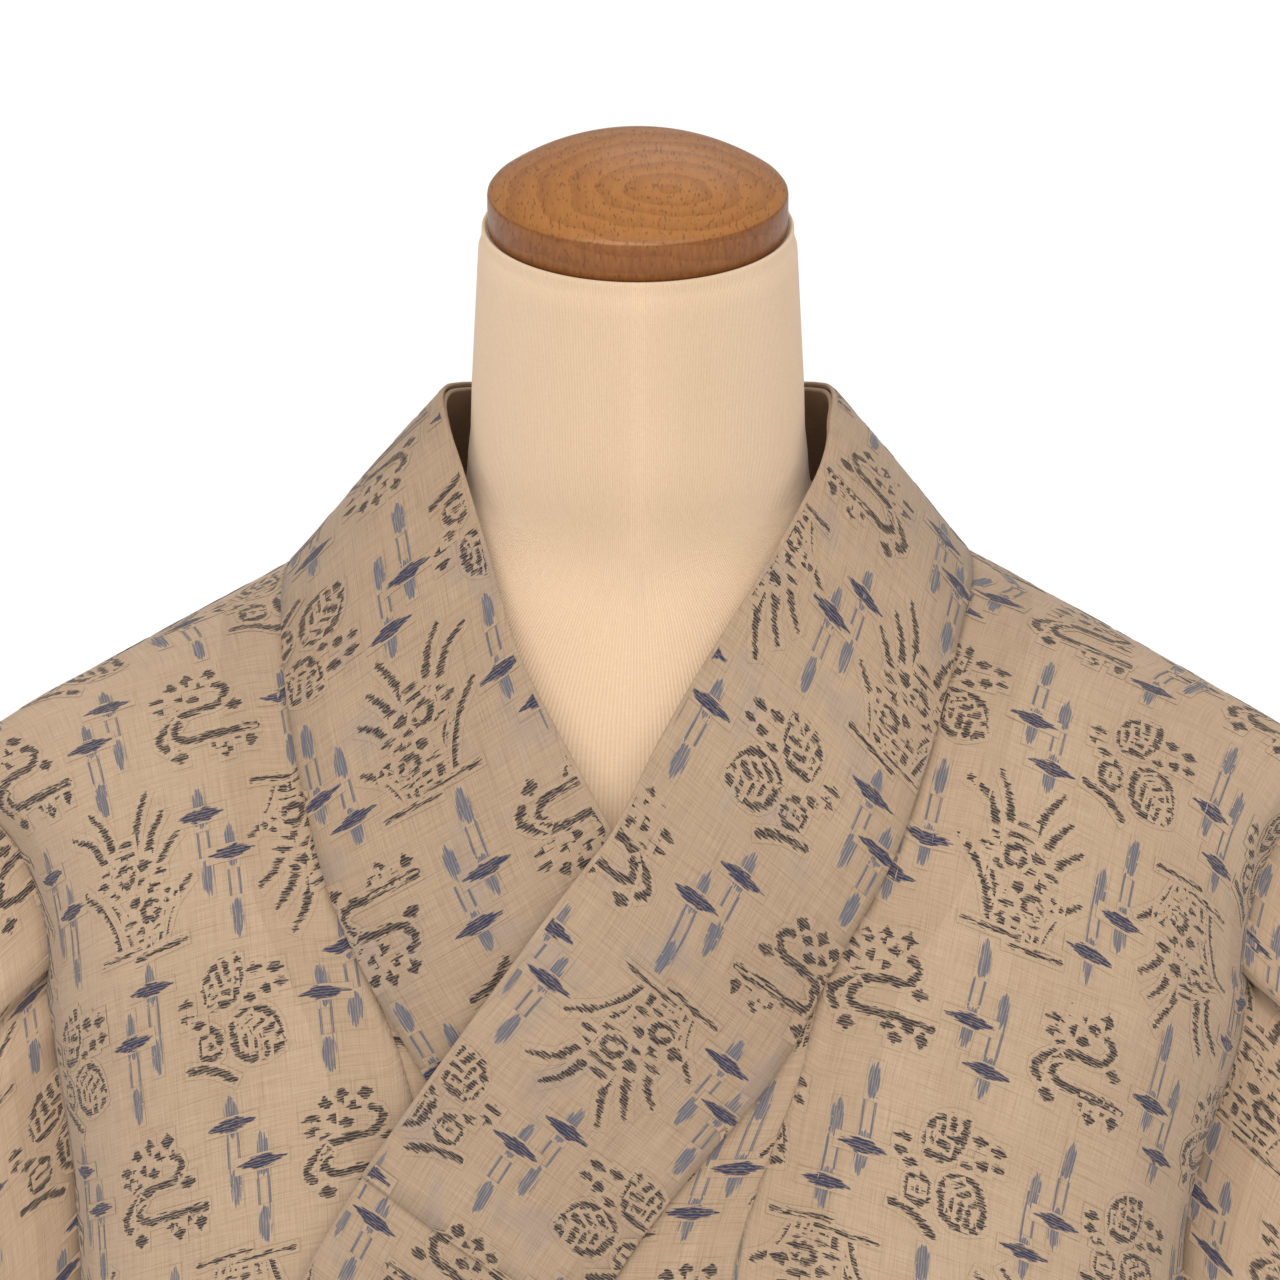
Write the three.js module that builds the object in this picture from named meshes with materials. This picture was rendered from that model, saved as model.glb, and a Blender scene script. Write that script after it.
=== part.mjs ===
// A woman's unlined summer kimono on a limbless dress form, in millimetres, +Z up.
// The front faces -Y and the wearer's left is +X. The origin is on the floor, at the
// centre of the stand's base. Cloth heights are given from the side neck point, the
// highest place where the cloth lies on the form's shoulder.
import * as THREE from 'three';

// Driving sizes of the whole
const SHOULDER_Z = 1530;
const KIMONO_LENGTH = 1500;
const CLOTH = 1.4;
const SEAM_GAP = 0.35;
const NECK_GAP = 0.8;

// Sizes of the cut, laid flat
const SLEEVE_WIDTH = 320;
const SLEEVE_LENGTH = 490;
const CUFF_OPENING = 230;
const ARMHOLE_LENGTH = 230;
const SIDE_OPENING = 130;

// Body of the cloth, seen from above: a superellipse that a table of levels scales.
// left and right are the wearer's: the half widths towards +X and -X.
const PLAN_POWER = 2.6;
const ARMHOLE_TOP_X = 247;
const ARMHOLE_TURN_IN = 2.4;
const HEM_Z = -KIMONO_LENGTH;
const BODY_LEVELS = [
  { z: -100, left: 207, right: 200, front: 105, back: 98 },
  { z: -170, left: 204, right: 198, front: 106, back: 100 },
  { z: -240, left: 187, right: 191, front: 108, back: 102 },
  { z: -330, left: 187, right: 190, front: 110, back: 104 },
  { z: -600, left: 198, right: 198, front: 118, back: 112 },
  { z: -1500, left: 206, right: 206, front: 134, back: 130 },
];

// Shoulder ridge, and the height over which the cloth rounds from it to the upright
const RIDGE = [
  { x: 0, z: 0, round: 135 },
  { x: 60, z: 0, round: 128 },
  { x: 110, z: -24, round: 112 },
  { x: 205, z: -73, round: 80 },
  { x: 247, z: -102, round: 60 },
];

// Collar rows from the centre back (row 0) to the collar's lower end (row 16).
// out = seam edge, in = folded edge. Rows that lie on the chest have no y of their own.
const COLLAR_BACK = [
  { xo: 0, yo: 92, zo: -35, xi: 0, yi: 78, zi: 18 },
  { xo: 42, yo: 84, zo: -33, xi: 30, yi: 69, zi: 20 },
  { xo: 78, yo: 60, zo: -28, xi: 52, yi: 44, zi: 25 },
  { xo: 101, yo: 28, zo: -24, xi: 63, yi: 14, zi: 31 },
];
const COLLAR_OVER = [
  { xo: 109, yo: 0, zo: -23, xi: 63, yi: -6, zi: 27 },
  { xo: 104, zo: -33, xi: 60, yi: -22, zi: 14 },
  { xo: 95, zo: -60, xi: 44, yi: -47, zi: -10 },
  { xo: 83, zo: -92, xi: 20, yi: -70, zi: -42 },
  { xo: 69, zo: -117, xi: 5, yi: -86, zi: -64 },
  { xo: 58, zo: -136, xi: -8, zi: -86 },
  { xo: 43, zo: -163, xi: -25, zi: -107 },
  { xo: 0, zo: -219, xi: -67, zi: -168 },
  { xo: -36, zo: -285, xi: -105, zi: -232 },
  { xo: -72, zo: -368, xi: -134, zi: -310 },
  { xo: -100, zo: -450, xi: -158, zi: -395 },
  { xo: -122, zo: -520, xi: -176, zi: -465 },
  { xo: -137, zo: -578, xi: -186, zi: -530 },
];
const COLLAR_UNDER = [
  { xo: 114, yo: 0, zo: -25, xi: 63, yi: -6, zi: 27 },
  { xo: 115, zo: -34, xi: 58, yi: -22, zi: 14 },
  { xo: 112, zo: -56, xi: 48, yi: -46, zi: -13 },
  { xo: 106, zo: -82, xi: 39, yi: -64, zi: -37 },
  { xo: 98, zo: -108, xi: 21, yi: -84, zi: -66 },
  { xo: 85, zo: -136, xi: 8, zi: -88 },
  { xo: 74, zo: -156, xi: -4, zi: -112 },
  { xo: 46, zo: -202, xi: -26, zi: -150 },
  { xo: 10, zo: -258, xi: -60, zi: -202 },
  { xo: -26, zo: -324, xi: -92, zi: -264 },
  { xo: -62, zo: -400, xi: -122, zi: -337 },
  { xo: -98, zo: -487, xi: -150, zi: -427 },
  { xo: -130, zo: -575, xi: -172, zi: -520 },
];
const OKUMI_POINT_ROW = 9;
const LAST_ROW = 16;
const RIDGE_ROW = 4;
const CHEST_ROW = 5;
const ROW_STEP = 0.5;
const OVER_COLLAR_END = { over: 11.5, under: 12 };
const COLLAR_BULGE = { depth: 1.5, upward: 30, rows: 5 };

// Rows from which the folded edge, then the whole strip, comes to lie on the chest
const COLLAR_LIES = { edgeRow: 8, stripRow: 6, rows: 3 };

// The overlap seam below its point, by height: x on each front, towards its own side
const OKUMI_SEAM = [
  { z: -136, over: 58, under: 85 },
  { z: -160, over: 53, under: 76 },
  { z: -185, over: 44, under: 70 },
  { z: -214, over: 34, under: 60 },
  { z: -300, over: 20, under: 40 },
  { z: -450, over: 6, under: 20 },
  { z: -700, over: -2, under: 6 },
  { z: -1500, over: -8, under: 0 },
];
const OKUMI_HEM_X = { over: -152, under: -146 };

// Distance of the over front from the under front where they cross
const LIFT = { depth: 5.4, side: 22, reach: 50, across: 42, top: -50, down: 35 };
const OVER_COLLAR_LIFT = 2.0;

// Hanging folds: place round the body in degrees (0 front, 90 wearer's left, 180 back),
// width in degrees, depth outwards at the hem and the height where each one fades out
const FOLD_FADE = 500;
const FOLDS = [
  { at: -62, width: 9, depth: 7, top: -330 },
  { at: -38, width: 8, depth: -4, top: -420 },
  { at: 27, width: 7, depth: 4.5, top: -260 },
  { at: 48, width: 8, depth: -4, top: -300 },
  { at: 66, width: 9, depth: 7.5, top: -240 },
  { at: 112, width: 9, depth: 7, top: -330 },
  { at: 137, width: 9, depth: -5, top: -280 },
  { at: 157, width: 8, depth: 5, top: -380 },
  { at: 203, width: 9, depth: 5.5, top: -300 },
  { at: 226, width: 9, depth: -5, top: -360 },
  { at: 249, width: 9, depth: 7, top: -280 },
];

// Sleeve edges, seen from the front: how far each one leans outwards from the upright
const SLEEVE_LEAN = { fold: 38, cuff: -8.5, inner: -3.8 };
const SLEEVE_TOP_BOW = 20;
const ARMHOLE_HALF_GAP = 28;
const ARMHOLE_EASE = { foot: 12, top: 55 };

// Dress form: superellipse sections from the neck down, y = the section's centre
const FORM_POWER = 2.15;
const SHOULDER_POWER = 1.72;
const NECK_TOP = 92.5;
const NECK_LEAN = 9;
const FORM_SECTIONS = [
  { z: 40, half: 54.5, front: 54, back: 56, y: -5 },
  { z: 15, half: 56, front: 54, back: 57, y: -2 },
  { z: -1, half: 60, front: 52, back: 57, y: 0 },
  { z: -12, half: 80, front: 51, back: 57, y: 0 },
  { z: -28, half: 112, front: 53, back: 58, y: 0 },
  { z: -48, half: 151, front: 59, back: 62, y: 0 },
  { z: -66, half: 183, front: 67, back: 68, y: 0 },
  { z: -80, half: 195, front: 73, back: 74, y: 0 },
  { z: -102, half: 195, front: 80, back: 81, y: 0 },
  { z: -130, half: 184, front: 88, back: 89, y: 0 },
  { z: -170, half: 163, front: 95, back: 91, y: 0 },
  { z: -230, half: 152, front: 98, back: 90, y: 0 },
  { z: -320, half: 142, front: 92, back: 86, y: 0 },
  { z: -420, half: 138, front: 88, back: 88, y: 0 },
  { z: -540, half: 152, front: 94, back: 98, y: 0 },
  { z: -620, half: 156, front: 96, back: 100, y: 0 },
  { z: -650, half: 150, front: 91, back: 95, y: 0 },
  { z: -660, half: 138, front: 80, back: 84, y: 0 },
];
const FORM_SIDES = 36;
const NECK_SECTIONS = 3;
const CHEST_BLEND = { section: 7, count: 4 };
const NECK_RADIUS = 51.5;
const FORM_RISE = 0.7;

// Turned cap on the neck, and the stand
const CAP = { radius: 48.8, wall: 13, dome: 16.5, edge: 2.5, crownRings: 7, sides: 44 };
const POLE = {
  radius: 16, sides: 28, flange: 45, flangeHeight: 10, flangeEdge: 0.6, neckRadius: 1.5, neckHeight: 1.8,
};
const BASE = { radius: 220, height: 24, edge: 5, edgeRings: 4, foot: 1, sides: 56 };

const COLOURS = {
  cloth: { color: 0xcdae8a, roughness: 0.9, metalness: 0 },
  collar: { color: 0xbea380, roughness: 0.9, metalness: 0 },
  cover: { color: 0xf0d3ab, roughness: 0.85, metalness: 0 },
  beech: { color: 0xb5773f, roughness: 0.4, metalness: 0 },
  steel: { color: 0xb9bbbd, roughness: 0.35, metalness: 1 },
};

// Small functions used all over
const lerp = (a, b, t) => a + (b - a) * t;
const clamp = (v, low, high) => Math.min(Math.max(v, low), high);
const radians = THREE.MathUtils.degToRad;

function smooth(t) {
  const c = clamp(t, 0, 1);
  return c * c * (3 - 2 * c);
}

// Reads a column of a table at a key, with straight lines between the rows
function readTable(rows, key, at, column) {
  const falling = rows[0][key] > rows[rows.length - 1][key];
  const before = (row) => (falling ? row[key] > at : row[key] < at);
  const next = rows.findIndex((row) => !before(row));
  if (next === 0) return rows[0][column];
  if (next < 0) return rows[rows.length - 1][column];
  const [a, b] = [rows[next - 1], rows[next]];
  return lerp(a[column], b[column], (at - a[key]) / (b[key] - a[key]));
}

// A smooth curve through four neighbouring values
function catmull(a, b, c, d, t) {
  const slopeB = (c - a) / 2;
  const slopeC = (d - b) / 2;
  const t2 = t * t;
  const t3 = t2 * t;
  return (2 * t3 - 3 * t2 + 1) * b + (t3 - 2 * t2 + t) * slopeB
    + (3 * t2 - 2 * t3) * c + (t3 - t2) * slopeC;
}

// Cloth body: plan, ridge and the chest's surface
const planX = (angle, half) =>
  half * Math.sign(Math.sin(angle)) * Math.abs(Math.sin(angle)) ** (2 / PLAN_POWER);
const planY = (angle, front, back) =>
  (Math.cos(angle) > 0 ? -front : back) * Math.abs(Math.cos(angle)) ** (2 / PLAN_POWER);

const halfAt = (z, side) => readTable(BODY_LEVELS, 'z', z, side < 0 ? 'right' : 'left');

function planAngle(x, half) {
  return Math.sign(x) * Math.asin(clamp(Math.abs(x) / half, 0, 1) ** (PLAN_POWER / 2));
}

function foldDepth(angle, z) {
  const degrees = THREE.MathUtils.radToDeg(angle);
  let depth = 0;
  for (const fold of FOLDS) {
    const turn = THREE.MathUtils.euclideanModulo(degrees - fold.at + 180, 360) - 180;
    const reach = smooth((fold.top - z) / FOLD_FADE);
    depth += fold.depth * reach * Math.exp(-((turn / fold.width) ** 2));
  }
  return depth;
}

// A point of the cloth below the shoulders, moved outwards by the folds and by lift
function bodyLevel(angle, z, lift) {
  const half = halfAt(z, Math.sign(Math.sin(angle)));
  const front = readTable(BODY_LEVELS, 'z', z, 'front');
  const back = readTable(BODY_LEVELS, 'z', z, 'back');
  const point = new THREE.Vector3(planX(angle, half), planY(angle, front, back), z);
  const depth = Math.cos(angle) > 0 ? front : back;
  const nx = Math.sign(point.x) * (Math.abs(point.x) / half) ** (PLAN_POWER - 1) / half;
  const ny = Math.sign(point.y) * (Math.abs(point.y) / depth) ** (PLAN_POWER - 1) / depth;
  const normal = new THREE.Vector3(nx, ny, 0).normalize();
  return point.addScaledVector(normal, foldDepth(angle, z) + lift);
}

const ridgeZ = (x) => readTable(RIDGE, 'x', Math.abs(x), 'z');
const roundHeight = (x) => readTable(RIDGE, 'x', Math.abs(x), 'round');

// How far round the shoulder a height lies: 0 on the ridge, a right angle where it hangs
function roundAngle(x, z) {
  return Math.acos(1 - clamp((ridgeZ(x) - z) / roundHeight(x), 0, 1));
}

// Edge of the under front's collar or overlap, towards the wearer's left, by height
const UNDER_REACH = [
  { z: -60, x: -30 },
  ...COLLAR_UNDER.slice(CHEST_ROW).map((row) => ({ z: row.zi, x: -row.xi })),
  { z: -576, x: 150 },
  { z: -1500, x: 152 },
];

// Lift of the over front: it rises where the under front lies beneath it
function overLift(x, z, half) {
  const reach = readTable(UNDER_REACH, 'z', z, 'x');
  const across = smooth((reach + LIFT.reach - x) / LIFT.across);
  const nearSide = smooth((half - Math.abs(x)) / LIFT.side);
  return LIFT.depth * across * smooth((LIFT.top - z) / LIFT.down) * nearSide;
}

// The chest's cloth at a width and height, on the over or the under front
function chestPoint(x, z, over) {
  const half = halfAt(z, x);
  const lift = over ? overLift(x, z, half) : 0;
  const point = bodyLevel(planAngle(x, half), z, lift);
  point.y *= Math.sin(roundAngle(x, z));
  return point;
}

// Collar: rows of a table joined by a smooth curve, mirrored for the under side
function collarEdge(side, row, edge) {
  const rows = [...COLLAR_BACK, ...(side > 0 ? COLLAR_OVER : COLLAR_UNDER)];
  const index = Math.min(Math.floor(row), LAST_ROW - 1);
  const [xKey, yKey, zKey] = ['x', 'y', 'z'].map((axis) => axis + edge);
  const read = (i, key) => {
    const mirrored = i < 0 && key === xKey ? -1 : 1;
    const entry = rows[clamp(Math.abs(i), 0, LAST_ROW)];
    if (entry[key] !== undefined) return mirrored * entry[key];
    return chestPoint(side * entry[xKey], entry[zKey], side > 0).y;
  };
  const at = (key) => catmull(read(index - 1, key), read(index, key), read(index + 1, key),
    read(Math.min(index + 2, LAST_ROW), key), row - index);
  const point = new THREE.Vector3(side * at(xKey), at(yKey), at(zKey));
  const settled = smooth(row - (edge === 'o' ? RIDGE_ROW : COLLAR_LIES.edgeRow));
  if (settled > 0) point.y = lerp(point.y, chestPoint(point.x, point.z, side > 0).y, settled);
  return point;
}

// A point of the collar: across runs from the seam (0) to the folded edge (1)
function collarPoint(side, row, across) {
  const seam = collarEdge(side, row, 'o');
  const fold = collarEdge(side, row, 'i');
  const point = seam.clone().lerp(fold, across);
  const outward = new THREE.Vector3(point.x, point.y, COLLAR_BULGE.upward).normalize();
  const rounded = 1 - smooth((row - RIDGE_ROW) / COLLAR_BULGE.rows);
  point.addScaledVector(outward, COLLAR_BULGE.depth * Math.sin(Math.PI * across) * rounded);
  const lying = smooth((row - COLLAR_LIES.stripRow) / COLLAR_LIES.rows);
  const onChest = chestPoint(lerp(seam.x, fold.x, across), point.z, side > 0);
  return point.lerp(onChest, lying);
}

// A closed body from points and triangles, turned so that its faces point out
function solid(positions, triangles) {
  const point = (id) => new THREE.Vector3().fromArray(positions, 3 * id);
  let volume = 0;
  for (let i = 0; i < triangles.length; i += 3) {
    const [a, b, c] = triangles.slice(i, i + 3).map(point);
    volume += a.dot(b.cross(c));
  }
  const geometry = new THREE.BufferGeometry();
  geometry.setAttribute('position', new THREE.Float32BufferAttribute(positions, 3));
  geometry.setIndex(volume > 0 ? triangles : [...triangles].reverse());
  geometry.computeVertexNormals();
  return geometry;
}

// A sheet of cloth: its middle surface, given wall thickness along its own normals
class Sheet {
  constructor() {
    this.points = [];
    this.faces = [];
  }

  add(point) {
    this.points.push(point.clone());
    return this.points.length - 1;
  }

  quad(a, b, c, d) {
    this.faces.push([a, b, c], [a, c, d]);
  }

  // Adds a grid of points, welded where weld gives the index of a point that is there
  grid(rows, columns, pointAt, flip = false, weld = () => undefined) {
    const ids = rows.map((row, i) => columns.map((column, j) => {
      const shared = weld(i, j);
      return shared === undefined ? this.add(pointAt(row, column, i, j)) : shared;
    }));
    for (let i = 0; i + 1 < rows.length; i += 1) {
      for (let j = 0; j + 1 < columns.length; j += 1) {
        const corners = [ids[i][j], ids[i + 1][j], ids[i + 1][j + 1], ids[i][j + 1]];
        this.quad(...(flip ? corners.reverse() : corners));
      }
    }
    return ids;
  }

  normals() {
    const normals = this.points.map(() => new THREE.Vector3());
    for (const [a, b, c] of this.faces) {
      const [pa, pb, pc] = [this.points[a], this.points[b], this.points[c]];
      const cross = pb.clone().sub(pa).cross(pc.clone().sub(pa));
      for (const id of [a, b, c]) normals[id].add(cross);
    }
    return normals.map((normal) => normal.normalize());
  }

  // Moves every point along its normal, as for a layer that lies on another
  raised(distance) {
    const copy = new Sheet();
    const normals = this.normals();
    copy.points = this.points.map((p, i) => p.clone().addScaledVector(normals[i], distance));
    copy.faces = this.faces.map((face) => [...face]);
    return copy;
  }

  // The closed wall
  wall(thickness) {
    const normals = this.normals();
    const count = this.points.length;
    const positions = [];
    for (const way of [0.5, -0.5]) {
      this.points.forEach((p, i) => {
        const q = p.clone().addScaledVector(normals[i], way * thickness);
        positions.push(q.x, q.y, q.z);
      });
    }
    const triangles = [];
    const edges = new Map();
    for (const [a, b, c] of this.faces) {
      triangles.push(a, b, c, a + count, c + count, b + count);
      for (const [from, to] of [[a, b], [b, c], [c, a]]) {
        if (!edges.delete(`${to}_${from}`)) edges.set(`${from}_${to}`, [from, to]);
      }
    }
    for (const [from, to] of edges.values()) {
      triangles.push(from, from + count, to + count, from, to + count, to);
    }
    return solid(positions, triangles);
  }
}

const steps = (from, to, count) =>
  Array.from({ length: count + 1 }, (_, i) => lerp(from, to, i / count));

// Samples along a plan curve, for a row's columns and for a length from the side
const ROW_SAMPLES = 48;
const SIDE_SAMPLES = 400;

// Angles between two plan angles that part the curve in equal lengths
function evenAngles(from, to, count, half, front, back) {
  const samples = steps(from, to, ROW_SAMPLES);
  const lengths = [0];
  for (let i = 1; i < samples.length; i += 1) {
    const dx = planX(samples[i], half) - planX(samples[i - 1], half);
    const dy = planY(samples[i], front, back) - planY(samples[i - 1], front, back);
    lengths.push(lengths[i - 1] + Math.hypot(dx, dy));
  }
  const total = lengths[lengths.length - 1];
  return steps(0, total, count).map((length) => {
    const next = Math.max(1, lengths.findIndex((value) => value >= length - 1e-9));
    const share = (length - lengths[next - 1]) / (lengths[next] - lengths[next - 1]);
    return lerp(samples[next - 1], samples[next], share);
  });
}

// Rows of a body panel: the front's follow the collar's rows, so that the seams meet
const COLLAR_ROWS = steps(RIDGE_ROW, LAST_ROW, (LAST_ROW - RIDGE_ROW) / ROW_STEP);
const ARC_ROWS = (OKUMI_POINT_ROW - RIDGE_ROW) / ROW_STEP;
const HEM_ROWS = 8;
const NECK_COLUMNS = RIDGE_ROW / ROW_STEP;
const SHOULDER_COLUMNS = 8;
const BACK_ARC_ROWS = 8;
const BACK_ARC_EASE = 1.25;
const NAPE_ROUND = 100;

function levelHeights(side) {
  const heights = COLLAR_ROWS.slice(ARC_ROWS).map((row) => collarEdge(side, row, 'o').z);
  const last = heights[heights.length - 1];
  return [...heights, ...steps(last, HEM_Z, HEM_ROWS).slice(1)];
}

// Half gap of the side edges: it opens at the armhole and closes at the side seam
function sideGap(z) {
  const armholeFoot = ridgeZ(ARMHOLE_TOP_X) - ARMHOLE_LENGTH + ARMHOLE_EASE.foot;
  const opening = smooth((ridgeZ(ARMHOLE_TOP_X) - z) / ARMHOLE_EASE.top);
  return ARMHOLE_HALF_GAP * opening * smooth((z - (armholeFoot - SIDE_OPENING)) / SIDE_OPENING);
}

// Plan angle between the side and a point that lies a given length from it
function sideAngle(length, half, depth) {
  let travelled = 0;
  for (let i = 1; i <= SIDE_SAMPLES && length > 0; i += 1) {
    const [near, far] = [i - 1, i].map((k) => (Math.PI / 2) * (1 - (k / SIDE_SAMPLES) ** 2));
    travelled += Math.hypot(planX(near, half) - planX(far, half),
      planY(near, depth, depth) - planY(far, depth, depth));
    if (travelled >= length) return Math.PI / 2 - far;
  }
  return 0;
}

function okumiSeamPoint(side, z) {
  const x = side * readTable(OKUMI_SEAM, 'z', z, side > 0 ? 'over' : 'under');
  return chestPoint(x, z, side > 0);
}

// Half width of the plan while the cloth rounds the shoulder
function roundHalf(side, turn) {
  const share = 1 - (1 - turn / (Math.PI / 2)) ** ARMHOLE_TURN_IN;
  return lerp(ARMHOLE_TOP_X, halfAt(BODY_LEVELS[1].z, side), share);
}

// One row of a body panel from the centre or the neck edge (column 0) to the side
function bodyRow(side, face, height, turn, edge, count) {
  const half = turn === undefined ? halfAt(height, side) : roundHalf(side, turn);
  const level = turn === undefined ? height : BODY_LEVELS[0].z;
  const front = readTable(BODY_LEVELS, 'z', level, 'front');
  const back = readTable(BODY_LEVELS, 'z', level, 'back');
  const share = turn === undefined ? 1 : Math.sin(turn);
  const startX = Math.abs(edge.x) * Math.sign(edge.x * side || 1);
  const start = planAngle(startX, half);
  const depth = face > 0 ? front : back;
  const gap = sideAngle(turn === undefined ? sideGap(height)
    : ARMHOLE_HALF_GAP * smooth(turn / (Math.PI / 2)), half, Math.max(depth * share, 1));
  const angles = evenAngles(start, Math.PI / 2 - gap, count, half,
    Math.max(front * share, 0.01), Math.max(back * share, 0.01));
  return angles.map((angle, i) => {
    const round = side * (face > 0 ? angle : Math.PI - angle);
    let point;
    if (turn === undefined) {
      const lift = side > 0 && face > 0 ? overLift(planX(angle, half), height, half) : 0;
      point = bodyLevel(round, height, lift);
    } else {
      const x = planX(angle, half);
      const ridgeX = lerp(Math.abs(edge.ridgeX), ARMHOLE_TOP_X, i / count);
      const z = ridgeZ(ridgeX) - roundHeight(ridgeX) * (1 - Math.cos(turn));
      const lift = side > 0 && face > 0 ? overLift(x, z, half) : 0;
      point = new THREE.Vector3(side * x, planY(round, front, back) * share - lift * share, z);
    }
    return point;
  });
}

// Pulls a row's first point onto the seam, and its neighbours by less and less
function fitRow(points, target, away, gap) {
  const shift = target.clone().addScaledVector(away, gap).sub(points[0]);
  return points.map((point, i) =>
    point.clone().addScaledVector(shift, (1 - i / (points.length - 1)) ** 2));
}

function bodyPanel(side) {
  const sheet = new Sheet();
  const levels = levelHeights(side);
  const columns = steps(0, 1, SHOULDER_COLUMNS);
  const backColumns = steps(0, 1, NECK_COLUMNS + SHOULDER_COLUMNS);
  const seamPair = (row) => {
    const seam = collarEdge(side, row, 'o');
    return [seam, seam.clone().sub(collarEdge(side, row, 'i')).normalize()];
  };
  // front: rows round the shoulder, then down to the hem
  const ridgeEdge = collarEdge(side, RIDGE_ROW, 'o');
  const frontRows = [];
  COLLAR_ROWS.slice(0, ARC_ROWS).forEach((row) => {
    const [seam, away] = seamPair(row);
    const drop = (ridgeZ(ridgeEdge.x) - seam.z) / roundHeight(ridgeEdge.x);
    const turn = Math.acos(1 - clamp(drop, 0, 1));
    const edge = { x: seam.x, ridgeX: ridgeEdge.x };
    frontRows.push(fitRow(bodyRow(side, 1, seam.z, turn, edge, SHOULDER_COLUMNS), seam, away, NECK_GAP));
  });
  const armholeDrop = ridgeZ(ARMHOLE_TOP_X) - roundHeight(ARMHOLE_TOP_X);
  const settleRows = 5;
  levels.forEach((z, k) => {
    const seam = okumiSeamPoint(side, z);
    const row = bodyRow(side, 1, z, undefined, { x: seam.x }, SHOULDER_COLUMNS);
    // the side hangs lower than the collar where the rows leave the shoulder
    const settle = 1 - smooth(k / settleRows);
    row.forEach((point, i) => {
      point.z += settle * (i / SHOULDER_COLUMNS) * (armholeDrop - levels[0]);
    });
    const away = new THREE.Vector3(side, 0, 0);
    frontRows.push(fitRow(row, seam, away, SEAM_GAP));
  });
  const frontIds = sheet.grid(frontRows, columns, (row, _, i, j) => row[j], side < 0);
  // back: the top row follows the collar's seam and then the ridge
  const seamTop = steps(0, RIDGE_ROW, NECK_COLUMNS).map((row) => {
    const [seam, away] = seamPair(row);
    return seam.addScaledVector(away, NECK_GAP);
  });
  const top = [...seamTop, ...frontRows[0].slice(1)];
  top[0].x = side * SEAM_GAP;
  const count = NECK_COLUMNS + SHOULDER_COLUMNS;
  const backRows = [top];
  const hung = bodyRow(side, -1, levels[0], undefined, { x: side * SEAM_GAP }, count);
  for (let k = 1; k <= BACK_ARC_ROWS; k += 1) {
    const turn = (Math.PI / 2) * (k / BACK_ARC_ROWS) ** BACK_ARC_EASE;
    const inward = 1 - (1 - turn / (Math.PI / 2)) ** ARMHOLE_TURN_IN;
    backRows.push(top.map((start, i) => {
      const nape = smooth(Math.abs(start.x) / ridgeEdge.x) + i / count;
      const drop = lerp(NAPE_ROUND, roundHeight(start.x), Math.min(nape, 1));
      const x = lerp(start.x, hung[i].x, inward);
      const y = lerp(start.y, hung[i].y, Math.sin(turn));
      return new THREE.Vector3(i === 0 ? start.x : x, y, start.z - drop * (1 - Math.cos(turn)));
    }));
  }
  levels.slice(1).forEach((z, k) => {
    const row = bodyRow(side, -1, z, undefined, { x: side * SEAM_GAP }, count);
    const settle = 1 - smooth((k + 1) / settleRows);
    const last = backRows[BACK_ARC_ROWS];
    row.forEach((point, i) => {
      point.z += settle * (last[i].z - levels[0]);
      point.x = Math.abs(point.x) < SEAM_GAP ? side * SEAM_GAP : point.x;
    });
    backRows.push(row);
  });
  const seamStart = levels.findIndex((z) => sideGap(z) <= 0);
  sheet.grid(backRows, backColumns, (row, _, i, j) => row[j], side > 0, (i, j) => {
    if (i === 0 && j >= NECK_COLUMNS) return frontIds[0][j - NECK_COLUMNS];
    const level = i - BACK_ARC_ROWS;
    if (j === count && level >= seamStart) return frontIds[ARC_ROWS + level][SHOULDER_COLUMNS];
    return undefined;
  });
  const sideOf = (rows) => rows.map((row) => {
    const [before, last] = row.slice(-2);
    return { at: last, away: last.clone().sub(before).normalize() };
  });
  return { sheet, frontEdge: sideOf(frontRows), backEdge: sideOf(backRows) };
}

// Overlap panel (okumi): between the body's front edge and the collar, then to its own edge
const OKUMI_COLUMNS = 4;

function okumiPanel(side) {
  const over = side > 0;
  const levels = levelHeights(side);
  const end = collarEdge(side, LAST_ROW, 'o');
  const rows = levels.map((z, k) => {
    const seam = okumiSeamPoint(side, z);
    const row = OKUMI_POINT_ROW + k * ROW_STEP;
    const hemX = side * -Math.abs(OKUMI_HEM_X[over ? 'over' : 'under']);
    const free = (end.z - z) / (end.z - HEM_Z);
    const edge = row <= LAST_ROW ? collarEdge(side, row, 'o')
      : chestPoint(lerp(end.x, hemX, free), z, over);
    return steps(0, 1, OKUMI_COLUMNS).map((share) => {
      const inset = SEAM_GAP * (1 - 2 * share);
      const x = lerp(seam.x, edge.x, share) - side * inset;
      return chestPoint(x, lerp(z, edge.z, share), over);
    });
  });
  const sheet = new Sheet();
  sheet.grid(rows.slice(1), rows[0], (row, _, i, j) => row[j], side > 0);
  return sheet;
}

// Collar (eri) from end to end, and the second collar (kake-eri) that lies on it
const COLLAR_COLUMNS = 4;

function collarSheet(underEnd, overEnd) {
  const sheet = new Sheet();
  const count = Math.round((underEnd + overEnd) / ROW_STEP);
  const rows = steps(-underEnd, overEnd, count);
  sheet.grid(rows, steps(0, 1, COLLAR_COLUMNS), (row, across) =>
    collarPoint(row < 0 ? -1 : 1, Math.abs(row), across), true);
  return sheet;
}

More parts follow.
